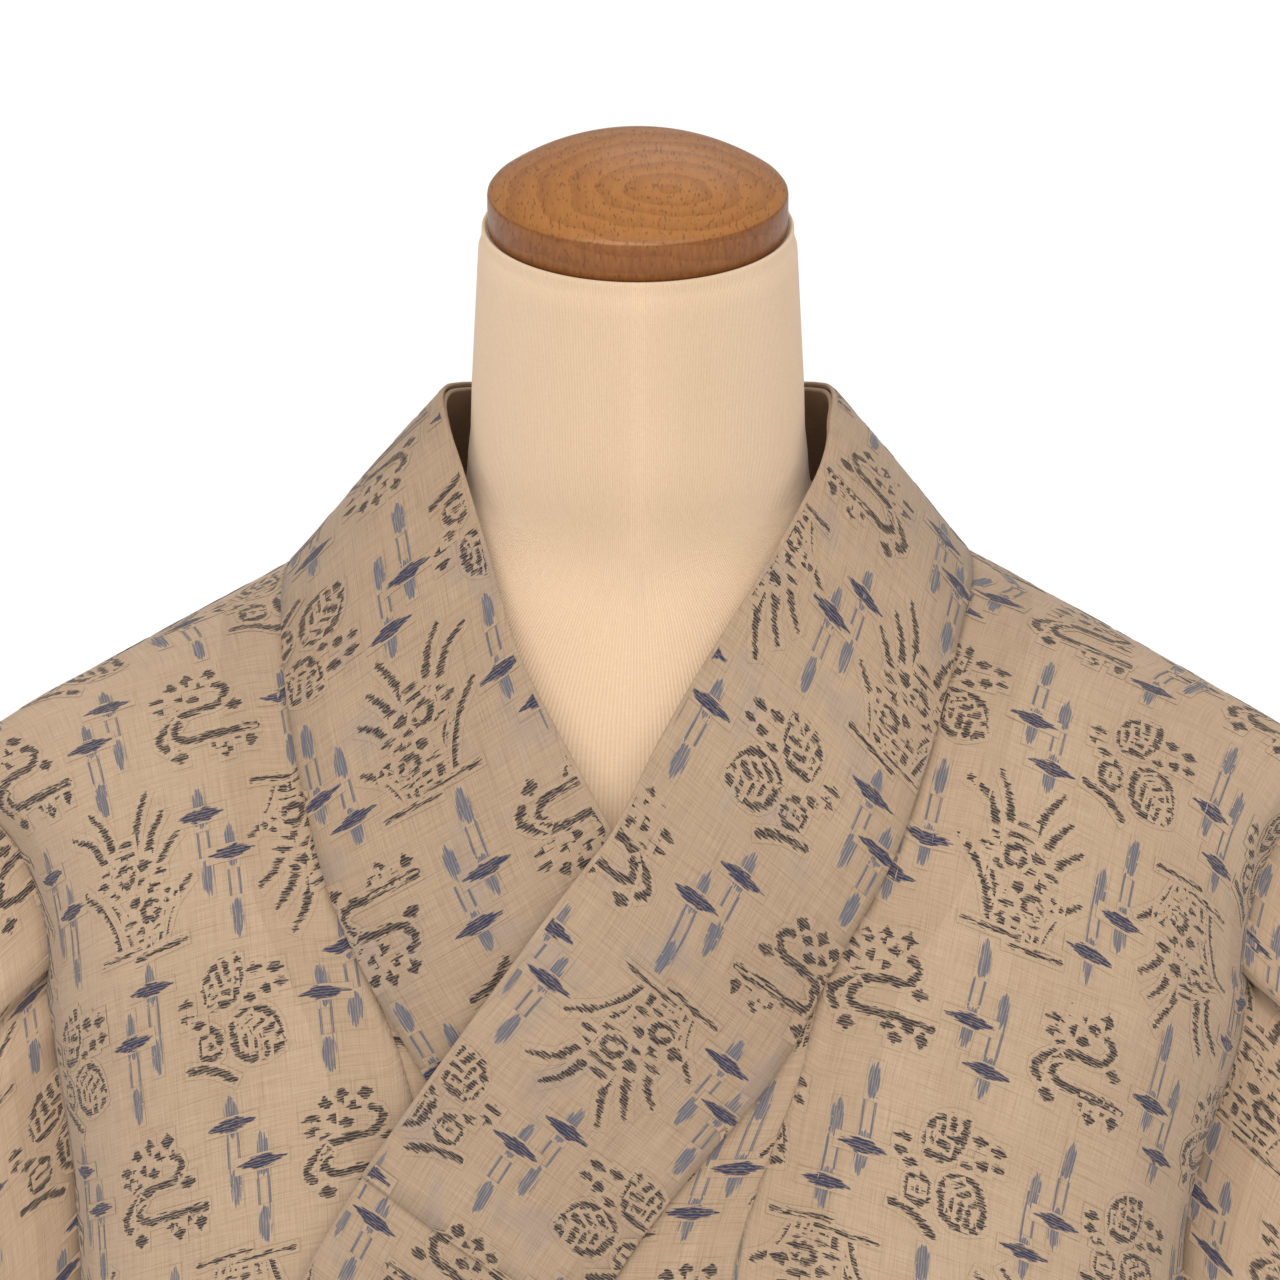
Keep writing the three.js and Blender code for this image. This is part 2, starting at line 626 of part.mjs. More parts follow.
// Sleeve: a flattened tube from the armhole out to the cuff, with a folded foot. Each
// ring point keeps its distance b from the shoulder fold all the way along the sleeve.
const SLEEVE_COLUMNS = 9;
const SLEEVE_LOWER = [285, 340, 395, 445, 478];
const CUFF_HALF_GAP = 20;
const SLEEVE_HALF_BODY = 15;
const SLEEVE_CLEAR = 1.9;
const SLEEVE_FOOT_HALF = 7;
const SLEEVE_INNER_BOW = 5;
const SLEEVE_BOW_SHARE = 0.7;

// How fast the sleeve fills out from its fold, foot, seams and cuff
const SLEEVE_FULLNESS = { fold: 90, foot: 60, seams: 0.8, cuff: 0.7 };
const CLOSED_EDGE = { half: 3.5, before: 30, over: 60 };

function leaning(from, length, lean) {
  const [across, down] = [Math.sin(radians(lean)), Math.cos(radians(lean))];
  return { x: from.x + length * across, z: from.z - length * down };
}

const ARMHOLE_TOP = { x: ARMHOLE_TOP_X, z: RIDGE[RIDGE.length - 1].z };
const SLEEVE_CUFF_TOP = leaning(ARMHOLE_TOP, SLEEVE_WIDTH, SLEEVE_LEAN.fold);
const SLEEVE_FOOT_OUT = leaning(SLEEVE_CUFF_TOP, SLEEVE_LENGTH, SLEEVE_LEAN.cuff);
const SLEEVE_FOOT_IN = leaning(ARMHOLE_TOP, SLEEVE_LENGTH, SLEEVE_LEAN.inner);

function sleeveRing(side, edge, face) {
  const points = [];
  let travelled = 0;
  edge.forEach(({ at, away }, i) => {
    if (i > 0) travelled += at.distanceTo(edge[i - 1].at);
    if (travelled <= ARMHOLE_LENGTH) {
      const outward = away.clone().add(new THREE.Vector3(side, 0, 0)).normalize();
      points.push({ b: travelled, inner: at.clone().addScaledVector(outward, SLEEVE_CLEAR) });
    }
  });
  const last = points[points.length - 1];
  const foot = new THREE.Vector3(side * SLEEVE_FOOT_IN.x, face * SLEEVE_FOOT_HALF, SLEEVE_FOOT_IN.z);
  SLEEVE_LOWER.forEach((b) => {
    const share = (b - last.b) / (SLEEVE_LENGTH - last.b);
    const inner = last.inner.clone().lerp(foot, share);
    const bow = Math.sin(Math.PI * Math.min(2 * share, 1) / 2) * (1 - share);
    inner.x += side * SLEEVE_INNER_BOW * bow;
    points.push({ b, inner });
  });
  return points;
}

// Half depth of the sleeve at a share a of its width and a distance b from the fold
function sleeveHalfDepth(a, b) {
  const { fold, foot, seams, cuff } = SLEEVE_FULLNESS;
  const rounding = Math.sqrt(clamp(b / fold, 0, 1)) * Math.sqrt(clamp((SLEEVE_LENGTH - b) / foot, 0, 1));
  const body = SLEEVE_HALF_BODY * Math.sin(Math.PI * a) ** seams * rounding;
  const round = Math.sin(Math.PI * clamp(b / CUFF_OPENING, 0, 1)) ** cuff;
  const closed = smooth((b - CUFF_OPENING + CLOSED_EDGE.before) / CLOSED_EDGE.over);
  return body + CUFF_HALF_GAP * smooth(a * 2 - 1) * round + CLOSED_EDGE.half * closed * a * rounding;
}

function sleevePoint(side, face, a, ring) {
  const share = ring.b / SLEEVE_LENGTH;
  const outer = new THREE.Vector3(
    side * lerp(SLEEVE_CUFF_TOP.x, SLEEVE_FOOT_OUT.x, share), 0,
    lerp(SLEEVE_CUFF_TOP.z, SLEEVE_FOOT_OUT.z, share));
  const point = ring.inner.clone().lerp(outer, a);
  const bow = SLEEVE_TOP_BOW * Math.sin(Math.PI * a) * (1 - share);
  point.x += side * bow * SLEEVE_BOW_SHARE;
  point.z += bow * SLEEVE_BOW_SHARE;
  point.y += face * sleeveHalfDepth(a, ring.b);
  return point;
}

function sleeveSheet(side, body) {
  const sheet = new Sheet();
  const front = sleeveRing(side, body.frontEdge, -1);
  const back = sleeveRing(side, body.backEdge, 1);
  const foot = { b: SLEEVE_LENGTH, inner: new THREE.Vector3(side * SLEEVE_FOOT_IN.x, 0, SLEEVE_FOOT_IN.z) };
  const columns = steps(0, 1, SLEEVE_COLUMNS);
  const ring = [
    ...front.map((entry) => ({ ...entry, face: -1 })),
    { ...foot, face: 0 },
    ...back.slice(1).reverse().map((entry) => ({ ...entry, face: 1 })),
  ];
  const ids = ring.map((entry) => columns.map((a, j) => {
    const closed = j === SLEEVE_COLUMNS && entry.face > 0 && entry.b > CUFF_OPENING;
    return closed ? -1 : sheet.add(sleevePoint(side, closed ? 0 : entry.face, a, entry));
  }));
  // below the cuff the front and back meet at the outer edge
  ring.forEach((entry, i) => {
    if (ids[i][SLEEVE_COLUMNS] >= 0) {
      if (entry.b > CUFF_OPENING) sheet.points[ids[i][SLEEVE_COLUMNS]].y = 0;
      return;
    }
    const partner = ring.findIndex((other) => other.face < 0 && other.b === entry.b);
    ids[i][SLEEVE_COLUMNS] = ids[partner][SLEEVE_COLUMNS];
  });
  const closedRing = [...ids, ids[0]];
  for (let i = 0; i + 1 < closedRing.length; i += 1) {
    for (let j = 0; j < SLEEVE_COLUMNS; j += 1) {
      const [a, b] = [closedRing[i], closedRing[i + 1]];
      const corners = [a[j], b[j], b[j + 1], a[j + 1]];
      sheet.quad(...(side < 0 ? corners.reverse() : corners));
    }
  }
  return sheet;
}

// Dress form: rings joined into one closed body, the neck leaning forward
function loft(rings) {
  const positions = rings.flat().flatMap((p) => [p.x, p.y, p.z]);
  const sides = rings[0].length;
  const triangles = [];
  for (let i = 0; i + 1 < rings.length; i += 1) {
    for (let j = 0; j < sides; j += 1) {
      const [a, b] = [i * sides + j, i * sides + ((j + 1) % sides)];
      triangles.push(a, a + sides, b + sides, a, b + sides, b);
    }
  }
  for (const start of [0, (rings.length - 1) * sides]) {
    const middle = rings[start / sides].reduce((sum, p) => sum.add(p), new THREE.Vector3());
    middle.divideScalar(sides);
    positions.push(middle.x, middle.y, middle.z);
    const centre = positions.length / 3 - 1;
    for (let j = 0; j < sides; j += 1) {
      const [a, b] = [start + j, start + ((j + 1) % sides)];
      triangles.push(centre, ...(start === 0 ? [a, b] : [b, a]));
    }
  }
  return solid(positions, triangles);
}

function formRing(section) {
  return steps(0, 2 * Math.PI, FORM_SIDES).slice(1).map((turn) => {
    const [c, s] = [Math.cos(turn), Math.sin(turn)];
    const depth = s < 0 ? section.front : section.back;
    const x = section.half * Math.sign(c) * Math.abs(c) ** (2 / section.power);
    const y = depth * Math.sign(s) * Math.abs(s) ** (2 / section.power);
    return new THREE.Vector3(x, section.y + y, section.z + y * (section.tilt ?? 0));
  });
}

const NECK_AXIS_Y = -13;
const NECK_RINGS = 3;

function formBody() {
  const first = FORM_SECTIONS[0];
  const tilt = Math.tan(radians(NECK_LEAN));
  const neck = steps(0, 1, NECK_RINGS).slice(0, -1).map((share) => ({
    z: lerp(NECK_TOP, first.z, share),
    half: lerp(NECK_RADIUS, first.half, share),
    front: lerp(NECK_RADIUS, first.front, share),
    back: lerp(NECK_RADIUS, first.back, share),
    y: lerp(NECK_AXIS_Y, first.y, share),
    tilt: tilt * (1 - share),
    power: 2,
  }));
  const torso = FORM_SECTIONS.map((section, i) => {
    const chest = smooth((i - CHEST_BLEND.section) / CHEST_BLEND.count);
    return { ...section, power: i < NECK_SECTIONS ? 2 : lerp(SHOULDER_POWER, FORM_POWER, chest) };
  });
  return loft([...neck, ...torso].map(formRing));
}

// Turned pieces: a profile of radius and height pairs, spun about the upright axis
function turned(profile, sides) {
  const points = profile.map(([radius, height]) => new THREE.Vector2(radius, height));
  return new THREE.LatheGeometry(points, sides).rotateX(Math.PI / 2);
}

function capBody() {
  const { radius, wall, dome, edge, crownRings, sides } = CAP;
  const sphere = (radius ** 2 + dome ** 2) / (2 * dome);
  const crown = steps(1, 0, crownRings).slice(1).map((share) => {
    const r = (radius - edge / 2) * share;
    return [r, wall + dome - sphere + Math.sqrt(sphere ** 2 - r ** 2)];
  });
  return turned([[0, 0], [radius - edge / 2, 0], [radius, edge / 2], [radius, wall], ...crown], sides);
}

function poleBody(length) {
  const { radius, sides, flange, flangeHeight, flangeEdge, neckRadius, neckHeight } = POLE;
  return turned([
    [0, 0], [flange, 0], [flange, flangeHeight * flangeEdge], [radius * neckRadius, flangeHeight],
    [radius, flangeHeight * neckHeight], [radius, length], [0, length],
  ], sides);
}

function baseBody() {
  const { radius, height, edge, edgeRings, foot, sides } = BASE;
  const rim = steps(0, Math.PI / 2, edgeRings).map((turn) => [
    radius - edge * (1 - Math.cos(turn)), height - edge * (1 - Math.sin(turn))]);
  return turned([[0, 0], [radius - foot, 0], [radius, foot], ...rim, [0, height]], sides);
}

// Assembly
const part = new THREE.Group();
const worn = new THREE.Group();
worn.position.z = SHOULDER_Z;
part.add(worn);

function place(parent, name, geometry, colour) {
  const mesh = new THREE.Mesh(geometry, new THREE.MeshStandardMaterial(COLOURS[colour]));
  mesh.name = name;
  parent.add(mesh);
  return mesh;
}

for (const [side, word] of [[1, 'left'], [-1, 'right']]) {
  const body = bodyPanel(side);
  place(worn, `body_${word}`, body.sheet.wall(CLOTH), 'cloth');
  place(worn, `overlap_${word}`, okumiPanel(side).wall(CLOTH), 'cloth');
  place(worn, `sleeve_${word}`, sleeveSheet(side, body).wall(CLOTH), 'cloth');
}
place(worn, 'collar', collarSheet(LAST_ROW, LAST_ROW).wall(CLOTH), 'collar');
const overCollar = collarSheet(OVER_COLLAR_END.under, OVER_COLLAR_END.over);
place(worn, 'over_collar', overCollar.raised(OVER_COLLAR_LIFT).wall(CLOTH), 'collar');

// the form carries the cloth at the shoulders, just clear of it
const form = new THREE.Group();
form.position.z = FORM_RISE;
worn.add(form);
place(form, 'form_torso', formBody(), 'cover');
const cap = place(form, 'form_cap', capBody(), 'beech');
cap.position.set(0, NECK_AXIS_Y, NECK_TOP + SEAM_GAP);
cap.rotation.x = radians(NECK_LEAN);
const poleTop = SHOULDER_Z + FORM_RISE + FORM_SECTIONS[FORM_SECTIONS.length - 1].z - SEAM_GAP;
const poleFoot = BASE.height + SEAM_GAP;
place(part, 'stand_pole', poleBody(poleTop - poleFoot), 'steel').position.z = poleFoot;
place(part, 'stand_base', baseBody(), 'beech');

export default part;
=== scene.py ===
"""A woman's unlined summer kimono of woven ikat on a limbless dress form.

Each cloth panel is a thin shell on its solid's form, with the woven figures laid out in the panel's own
cloth. Shapes are in millimetres from the side neck point, as in the part's source, and MM and SHOULDER
bring them into the frame's metres.
"""

import logging
import math
from collections import defaultdict
from dataclasses import dataclass, field, replace
from enum import Enum
from typing import Sequence

import bpy
import numpy as np
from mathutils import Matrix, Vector


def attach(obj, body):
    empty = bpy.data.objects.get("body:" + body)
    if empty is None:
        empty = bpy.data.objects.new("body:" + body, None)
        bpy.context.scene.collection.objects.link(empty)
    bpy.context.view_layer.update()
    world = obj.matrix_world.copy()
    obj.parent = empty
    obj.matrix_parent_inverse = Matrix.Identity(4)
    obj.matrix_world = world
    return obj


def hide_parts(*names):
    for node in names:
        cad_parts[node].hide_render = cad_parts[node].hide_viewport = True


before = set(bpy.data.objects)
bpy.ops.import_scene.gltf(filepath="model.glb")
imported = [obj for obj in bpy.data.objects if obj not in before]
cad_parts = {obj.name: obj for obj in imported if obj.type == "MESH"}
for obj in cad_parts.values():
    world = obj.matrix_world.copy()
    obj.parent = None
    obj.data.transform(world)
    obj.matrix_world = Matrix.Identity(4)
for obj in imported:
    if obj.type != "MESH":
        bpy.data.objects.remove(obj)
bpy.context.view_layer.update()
LOG = logging.getLogger("kimono")

# Units, the side neck point above the floor, and short names that every piece uses
MM = 0.001
SHOULDER = np.array([0.0, 0.0, 1530.0])
QUARTER = math.pi / 2
Array = np.ndarray
Points = Sequence[tuple[float, float]]
Start = tuple[float, float, int]
Colour = tuple[int, int, int]
SIDES = {1: "left", -1: "right"}


def lerp(a: float | Array, b: float | Array, t: float | Array) -> float | Array:
    """Goes from a to b in a straight line."""
    return a + (b - a) * t


def smooth(t: float | Array) -> float | Array:
    """Eases from 0 to 1."""
    c = np.clip(t, 0.0, 1.0)
    return c * c * (3 - 2 * c)


def unit(v: Array) -> Array:
    """Brings vectors to length 1 along their last axis."""
    return v / np.maximum(np.linalg.norm(v, axis=-1, keepdims=True), 1e-12)


def curve_weights(u: float | Array) -> tuple[float | Array, ...]:
    """Shares of a smooth curve's two ends and of its two slopes, at a share of its length."""
    rise = 3 * u**2 - 2 * u**3
    return 1 - rise, rise, u**3 - 2 * u**2 + u, u**3 - u**2


def hermite(knots: Array, values: Array, at: Array) -> Array:
    """Reads a smooth curve through values along their first axis.

    Args:
        knots: rising places of the values.
        values: values, one row for each knot.
        at: places to read.

    Returns:
        One row for each place.
    """
    slopes = np.gradient(values, knots, axis=0)
    i = np.clip(np.searchsorted(knots, at, side="right") - 1, 0, len(knots) - 2)
    shape = (-1,) + (1,) * (values.ndim - 1)
    span = (knots[i + 1] - knots[i]).reshape(shape)
    first, last, leaving, arriving = curve_weights((at - knots[i]).reshape(shape) / span)
    return (first * values[i] + last * values[i + 1]
            + span * (leaving * slopes[i] + arriving * slopes[i + 1]))


def lengths_along(points: Array) -> Array:
    """Distance along a line of points, from its first one."""
    steps = np.linalg.norm(np.diff(points, axis=0), axis=-1)
    return np.concatenate([[0.0], np.cumsum(steps)])


def down_lengths(grid: Array) -> Array:
    """Mean distance of each row of a grid from its first one."""
    steps = np.linalg.norm(np.diff(grid, axis=0), axis=-1).mean(axis=1)
    return np.concatenate([[0.0], np.cumsum(steps)])


def across_lengths(grid: Array) -> Array:
    """Distance of each point of a grid from its row's first one."""
    steps = np.linalg.norm(np.diff(grid, axis=1), axis=-1)
    return np.concatenate([np.zeros((len(grid), 1)), np.cumsum(steps, axis=1)], axis=1)


def srgb(red: int, green: int, blue: int) -> tuple[float, float, float, float]:
    """Turns a colour as seen on a screen into the linear one that shaders use.

    Args:
        red: red, from 0 to 255.
        green: green, from 0 to 255.
        blue: blue, from 0 to 255.

    Returns:
        The linear colour with full cover.
    """
    def linear(part: int) -> float:
        """One channel made linear."""
        v = part / 255
        return v / 12.92 if v <= 0.04045 else ((v + 0.055) / 1.055) ** 2.4
    return (linear(red), linear(green), linear(blue), 1.0)


@dataclass(frozen=True)
class Table:
    """A short table: its first column is the key, and it is read with straight lines between rows."""

    names: str
    rows: tuple[tuple[float, ...], ...]

    def read(self, at: float, name: str) -> float:
        """Reads a column at a key.

        Args:
            at: the key.
            name: the column's name.

        Returns:
            The value there.
        """
        rows = self.rows if self.rows[0][0] < self.rows[-1][0] else self.rows[::-1]
        column = self.names.split().index(name)
        return float(np.interp(at, [row[0] for row in rows], [row[column] for row in rows]))


@dataclass(frozen=True)
class Fold:
    """A hanging fold: its place and width round the body in degrees, its depth and where it fades out."""

    at: float
    width: float
    depth: float
    top: float


@dataclass
class WornShape:
    """The worn cloth's shape, from its plan at a few levels and its shoulder ridge."""

    plan_power: float = 2.6
    hem_z: float = -1500.0
    chest_z: float = -170.0
    lift: float = 5.4
    lift_past: float = 50.0
    lift_across: float = 42.0
    lift_top: float = -50.0
    lift_down: float = 35.0
    lift_side: float = 22.0
    turn_in: float = 2.4
    armhole_x: float = 247.0
    armhole_length: float = 230.0
    side_opening: float = 130.0
    armhole_gap: float = 28.0
    gap_ease: float = 55.0
    gap_tail: float = 12.0
    fold_fade: float = 500.0
    levels: Table = Table("z left right front back", (
        (-100, 207, 200, 105, 98), (-170, 204, 198, 106, 100), (-240, 187, 191, 108, 102),
        (-330, 187, 190, 110, 104), (-600, 198, 198, 118, 112), (-1500, 206, 206, 134, 130)))
    ridge: Table = Table("x z round", (
        (0, 0, 135), (60, 0, 128), (110, -24, 112), (205, -73, 80), (247, -102, 60)))
    under_reach: Table = Table("z x", (
        (-60, -30), (-88, -8), (-112, 4), (-150, 26), (-202, 60), (-264, 92), (-337, 122),
        (-427, 150), (-520, 172), (-576, 150), (-1500, 152)))
    okumi_seam: Table = Table("z over under", (
        (-136, 58, 85), (-160, 53, 76), (-185, 44, 70), (-214, 34, 60), (-300, 20, 40),
        (-450, 6, 20), (-700, -2, 6), (-1500, -8, 0)))
    folds: tuple[Fold, ...] = (
        Fold(-62, 9, 7, -330), Fold(-38, 8, -4, -420), Fold(27, 7, 4.5, -260), Fold(48, 8, -4, -300),
        Fold(66, 9, 7.5, -240), Fold(112, 9, 7, -330), Fold(137, 9, -5, -280), Fold(157, 8, 5, -380),
        Fold(203, 9, 5.5, -300), Fold(226, 9, -5, -360), Fold(249, 9, 7, -280))

    def half(self, z: float, side: float) -> float:
        """Half width of the cloth towards one side at a height."""
        return self.levels.read(z, "right" if side < 0 else "left")

    def plan_x(self, angle: float | Array, half: float) -> float | Array:
        """Width of the plan's point at an angle from the front."""
        s = np.sin(angle)
        return half * np.sign(s) * np.abs(s) ** (2 / self.plan_power)

    def plan_y(self, angle: float | Array, front: float, back: float) -> float | Array:
        """Depth of the plan's point at an angle from the front."""
        c = np.cos(angle)
        return np.where(c > 0, -front, back) * np.abs(c) ** (2 / self.plan_power)

    def plan_angle(self, x: float, half: float) -> float:
        """Angle of the plan's point at a width."""
        share = float(np.clip(abs(x) / half, 0, 1))
        return math.copysign(math.asin(share ** (self.plan_power / 2)), x)

    def fold_depth(self, angle: float, z: float) -> float:
        """How far the hanging folds move the cloth outwards."""
        depth = 0.0
        for fold in self.folds:
            turn = (math.degrees(angle) - fold.at + 180) % 360 - 180
            grown = smooth((fold.top - z) / self.fold_fade)
            depth += fold.depth * grown * math.exp(-((turn / fold.width) ** 2))
        return float(depth)

    def level_point(self, angle: float, z: float, lift: float) -> Array:
        """A point of the cloth below the shoulders.

        Args:
            angle: angle round the body from the front.
            z: height.
            lift: distance outwards beside the folds'.

        Returns:
            The point.
        """
        half = self.half(z, math.sin(angle))
        front, back = self.levels.read(z, "front"), self.levels.read(z, "back")
        point = np.array([float(self.plan_x(angle, half)), float(self.plan_y(angle, front, back)), z])
        depth = front if math.cos(angle) > 0 else back
        power = self.plan_power - 1
        normal = np.array([
            np.sign(point[0]) * (abs(point[0]) / half) ** power / half,
            np.sign(point[1]) * (abs(point[1]) / depth) ** power / depth, 0.0])
        return point + unit(normal) * (self.fold_depth(angle, z) + lift)

    def ridge_z(self, x: float) -> float:
        """Height of the shoulder ridge."""
        return self.ridge.read(abs(x), "z")

    def round_height(self, x: float) -> float:
        """Height over which the cloth rounds from the ridge to the upright."""
        return self.ridge.read(abs(x), "round")

    def over_lift(self, x: float, z: float, half: float) -> float:
        """Lift of the over front, which rises where the under front lies beneath it."""
        reach = self.under_reach.read(z, "x")
        across = smooth((reach + self.lift_past - x) / self.lift_across)
        down = smooth((self.lift_top - z) / self.lift_down)
        return float(self.lift * across * down * smooth((half - abs(x)) / self.lift_side))

    def chest_point(self, x: float, z: float, over: bool) -> Array:
        """The chest's cloth at a width and height, on the over or the under front."""
        half = self.half(z, x)
        lift = self.over_lift(x, z, half) if over else 0.0
        point = self.level_point(self.plan_angle(x, half), z, lift)
        drop = float(np.clip((self.ridge_z(x) - z) / self.round_height(x), 0, 1))
        point[1] *= math.sin(math.acos(1 - drop))
        return point

    def okumi_point(self, side: int, z: float) -> Array:
        """A point of the seam between a front and its overlap."""
        over = side > 0
        return self.chest_point(side * self.okumi_seam.read(z, "over" if over else "under"), z, over)

    def side_gap(self, z: float) -> float:
        """Half gap of the side edges, which opens at the armhole and closes at the side seam."""
        top = self.ridge_z(self.armhole_x)
        foot = top - self.armhole_length + self.gap_tail - self.side_opening
        opening = smooth((top - z) / self.gap_ease) * smooth((z - foot) / self.side_opening)
        return float(self.armhole_gap * opening)


@dataclass
class CollarLine:
    """The collar's two edges, row by row from the centre back to its lower ends.

    Each row holds x, y and z of the seam edge and then of the folded edge. A row that lies on the
    chest has no y of its own.
    """

    shape: WornShape
    last: int = 16
    ridge_row: int = 4
    point_row: int = 9
    fold_row: int = 8
    bulge: float = 1.5
    bulge_rows: float = 5.0
    upward: float = 30.0
    lies_from: float = 6.0
    lies_rows: float = 3.0
    back: tuple[tuple, ...] = (
        (0, 92, -35, 0, 78, 18), (42, 84, -33, 30, 69, 20), (78, 60, -28, 52, 44, 25),
        (101, 28, -24, 63, 14, 31))
    over: tuple[tuple, ...] = (
        (109, 0, -23, 63, -6, 27), (104, None, -33, 60, -22, 14), (95, None, -60, 44, -47, -10),
        (83, None, -92, 20, -70, -42), (69, None, -117, 5, -86, -64), (58, None, -136, -8, None, -86),
        (43, None, -163, -25, None, -107), (0, None, -219, -67, None, -168),
        (-36, None, -285, -105, None, -232), (-72, None, -368, -134, None, -310),
        (-100, None, -450, -158, None, -395), (-122, None, -520, -176, None, -465),
        (-137, None, -578, -186, None, -530))
    under: tuple[tuple, ...] = (
        (114, 0, -25, 63, -6, 27), (115, None, -34, 58, -22, 14), (112, None, -56, 48, -46, -13),
        (106, None, -82, 39, -64, -37), (98, None, -108, 21, -84, -66), (85, None, -136, 8, None, -88),
        (74, None, -156, -4, None, -112), (46, None, -202, -26, None, -150),
        (10, None, -258, -60, None, -202), (-26, None, -324, -92, None, -264),
        (-62, None, -400, -122, None, -337), (-98, None, -487, -150, None, -427),
        (-130, None, -575, -172, None, -520))

    def knot(self, side: int, index: int, first: int) -> Array:
        """One table row's point on an edge.

        Args:
            side: 1 on the over front, -1 on the under front.
            index: the row, below 0 past the centre back.
            first: the edge's first column.

        Returns:
            The point, with x towards its own side.
        """
        rows = self.back + (self.over if side > 0 else self.under)
        x, y, z = rows[min(abs(index), self.last)][first:first + 3]
        if y is None:
            y = self.shape.chest_point(side * x, z, side > 0)[1]
        return np.array([-x if index < 0 else x, y, z], dtype=float)

    def edge(self, side: int, row: float, folded: bool) -> Array:
        """A point of the seam edge or of the folded edge at a row."""
        index = min(int(math.floor(row)), self.last - 1)
        knots = np.array([self.knot(side, min(index + k, self.last), 3 if folded else 0)
                          for k in (-1, 0, 1, 2)])
        first, last, leaving, arriving = curve_weights(row - index)
        point = (first * knots[1] + last * knots[2]
                 + leaving * (knots[2] - knots[0]) / 2 + arriving * (knots[3] - knots[1]) / 2)
        point[0] *= side
        settled = float(smooth(row - (self.fold_row if folded else self.ridge_row)))
        if settled > 0:
            chest = self.shape.chest_point(point[0], point[2], side > 0)
            point[1] = lerp(point[1], chest[1], settled)
        return point

    def point(self, side: int, row: float, across: float) -> Array:
        """A point of the collar: across runs from the seam at 0 to the folded edge at 1."""
        seam, fold = self.edge(side, row, False), self.edge(side, row, True)
        point = lerp(seam, fold, across)
        outward = unit(np.array([point[0], point[1], self.upward]))
        fade = 1 - smooth((row - self.ridge_row) / self.bulge_rows)
        point = point + outward * self.bulge * math.sin(math.pi * across) * fade
        chest = self.shape.chest_point(lerp(seam[0], fold[0], across), point[2], side > 0)
        return lerp(point, chest, smooth((row - self.lies_from) / self.lies_rows))


@dataclass(frozen=True)
class Crease:
    """A soft trough, or a ridge where its depth is below 0, between two places of the cloth."""

    s0: float
    t0: float
    s1: float
    t1: float
    width: float
    depth: float
    fade: float = 0.3
    sway: float = 0.35
    waves: float = 5.0

    def push(self, s: Array, t: Array) -> Array:
        """How far the crease moves the cloth inwards at places of the cloth."""
        along = np.array([self.s1 - self.s0, self.t1 - self.t0])
        total = float(np.hypot(*along))
        u = ((s - self.s0) * along[0] + (t - self.t0) * along[1]) / total**2
        off = ((s - self.s0) * along[1] - (t - self.t0) * along[0]) / total
        ends = smooth(u / self.fade) * smooth((1 - u) / self.fade)
        shift = self.width * self.sway * np.sin(self.waves * u + self.s0)
        return self.depth * ends * np.exp(-(((off - shift) / self.width) ** 2))


@dataclass(frozen=True)
class Unevenness:
    """The slight waviness of cloth that was folded and hung up again."""

    depth: float = 0.35
    across: float = 21.0
    bend: float = 1.3
    bend_down: float = 57.0
    down: float = 83.0
    slant: float = 49.0

    def push(self, s: Array, t: Array) -> Array:
        """How far it moves the cloth inwards at places of the cloth."""
        ripple = np.sin(s / self.across + self.bend * np.sin(t / self.bend_down))
        return self.depth * ripple * np.sin(t / self.down + s / self.slant)


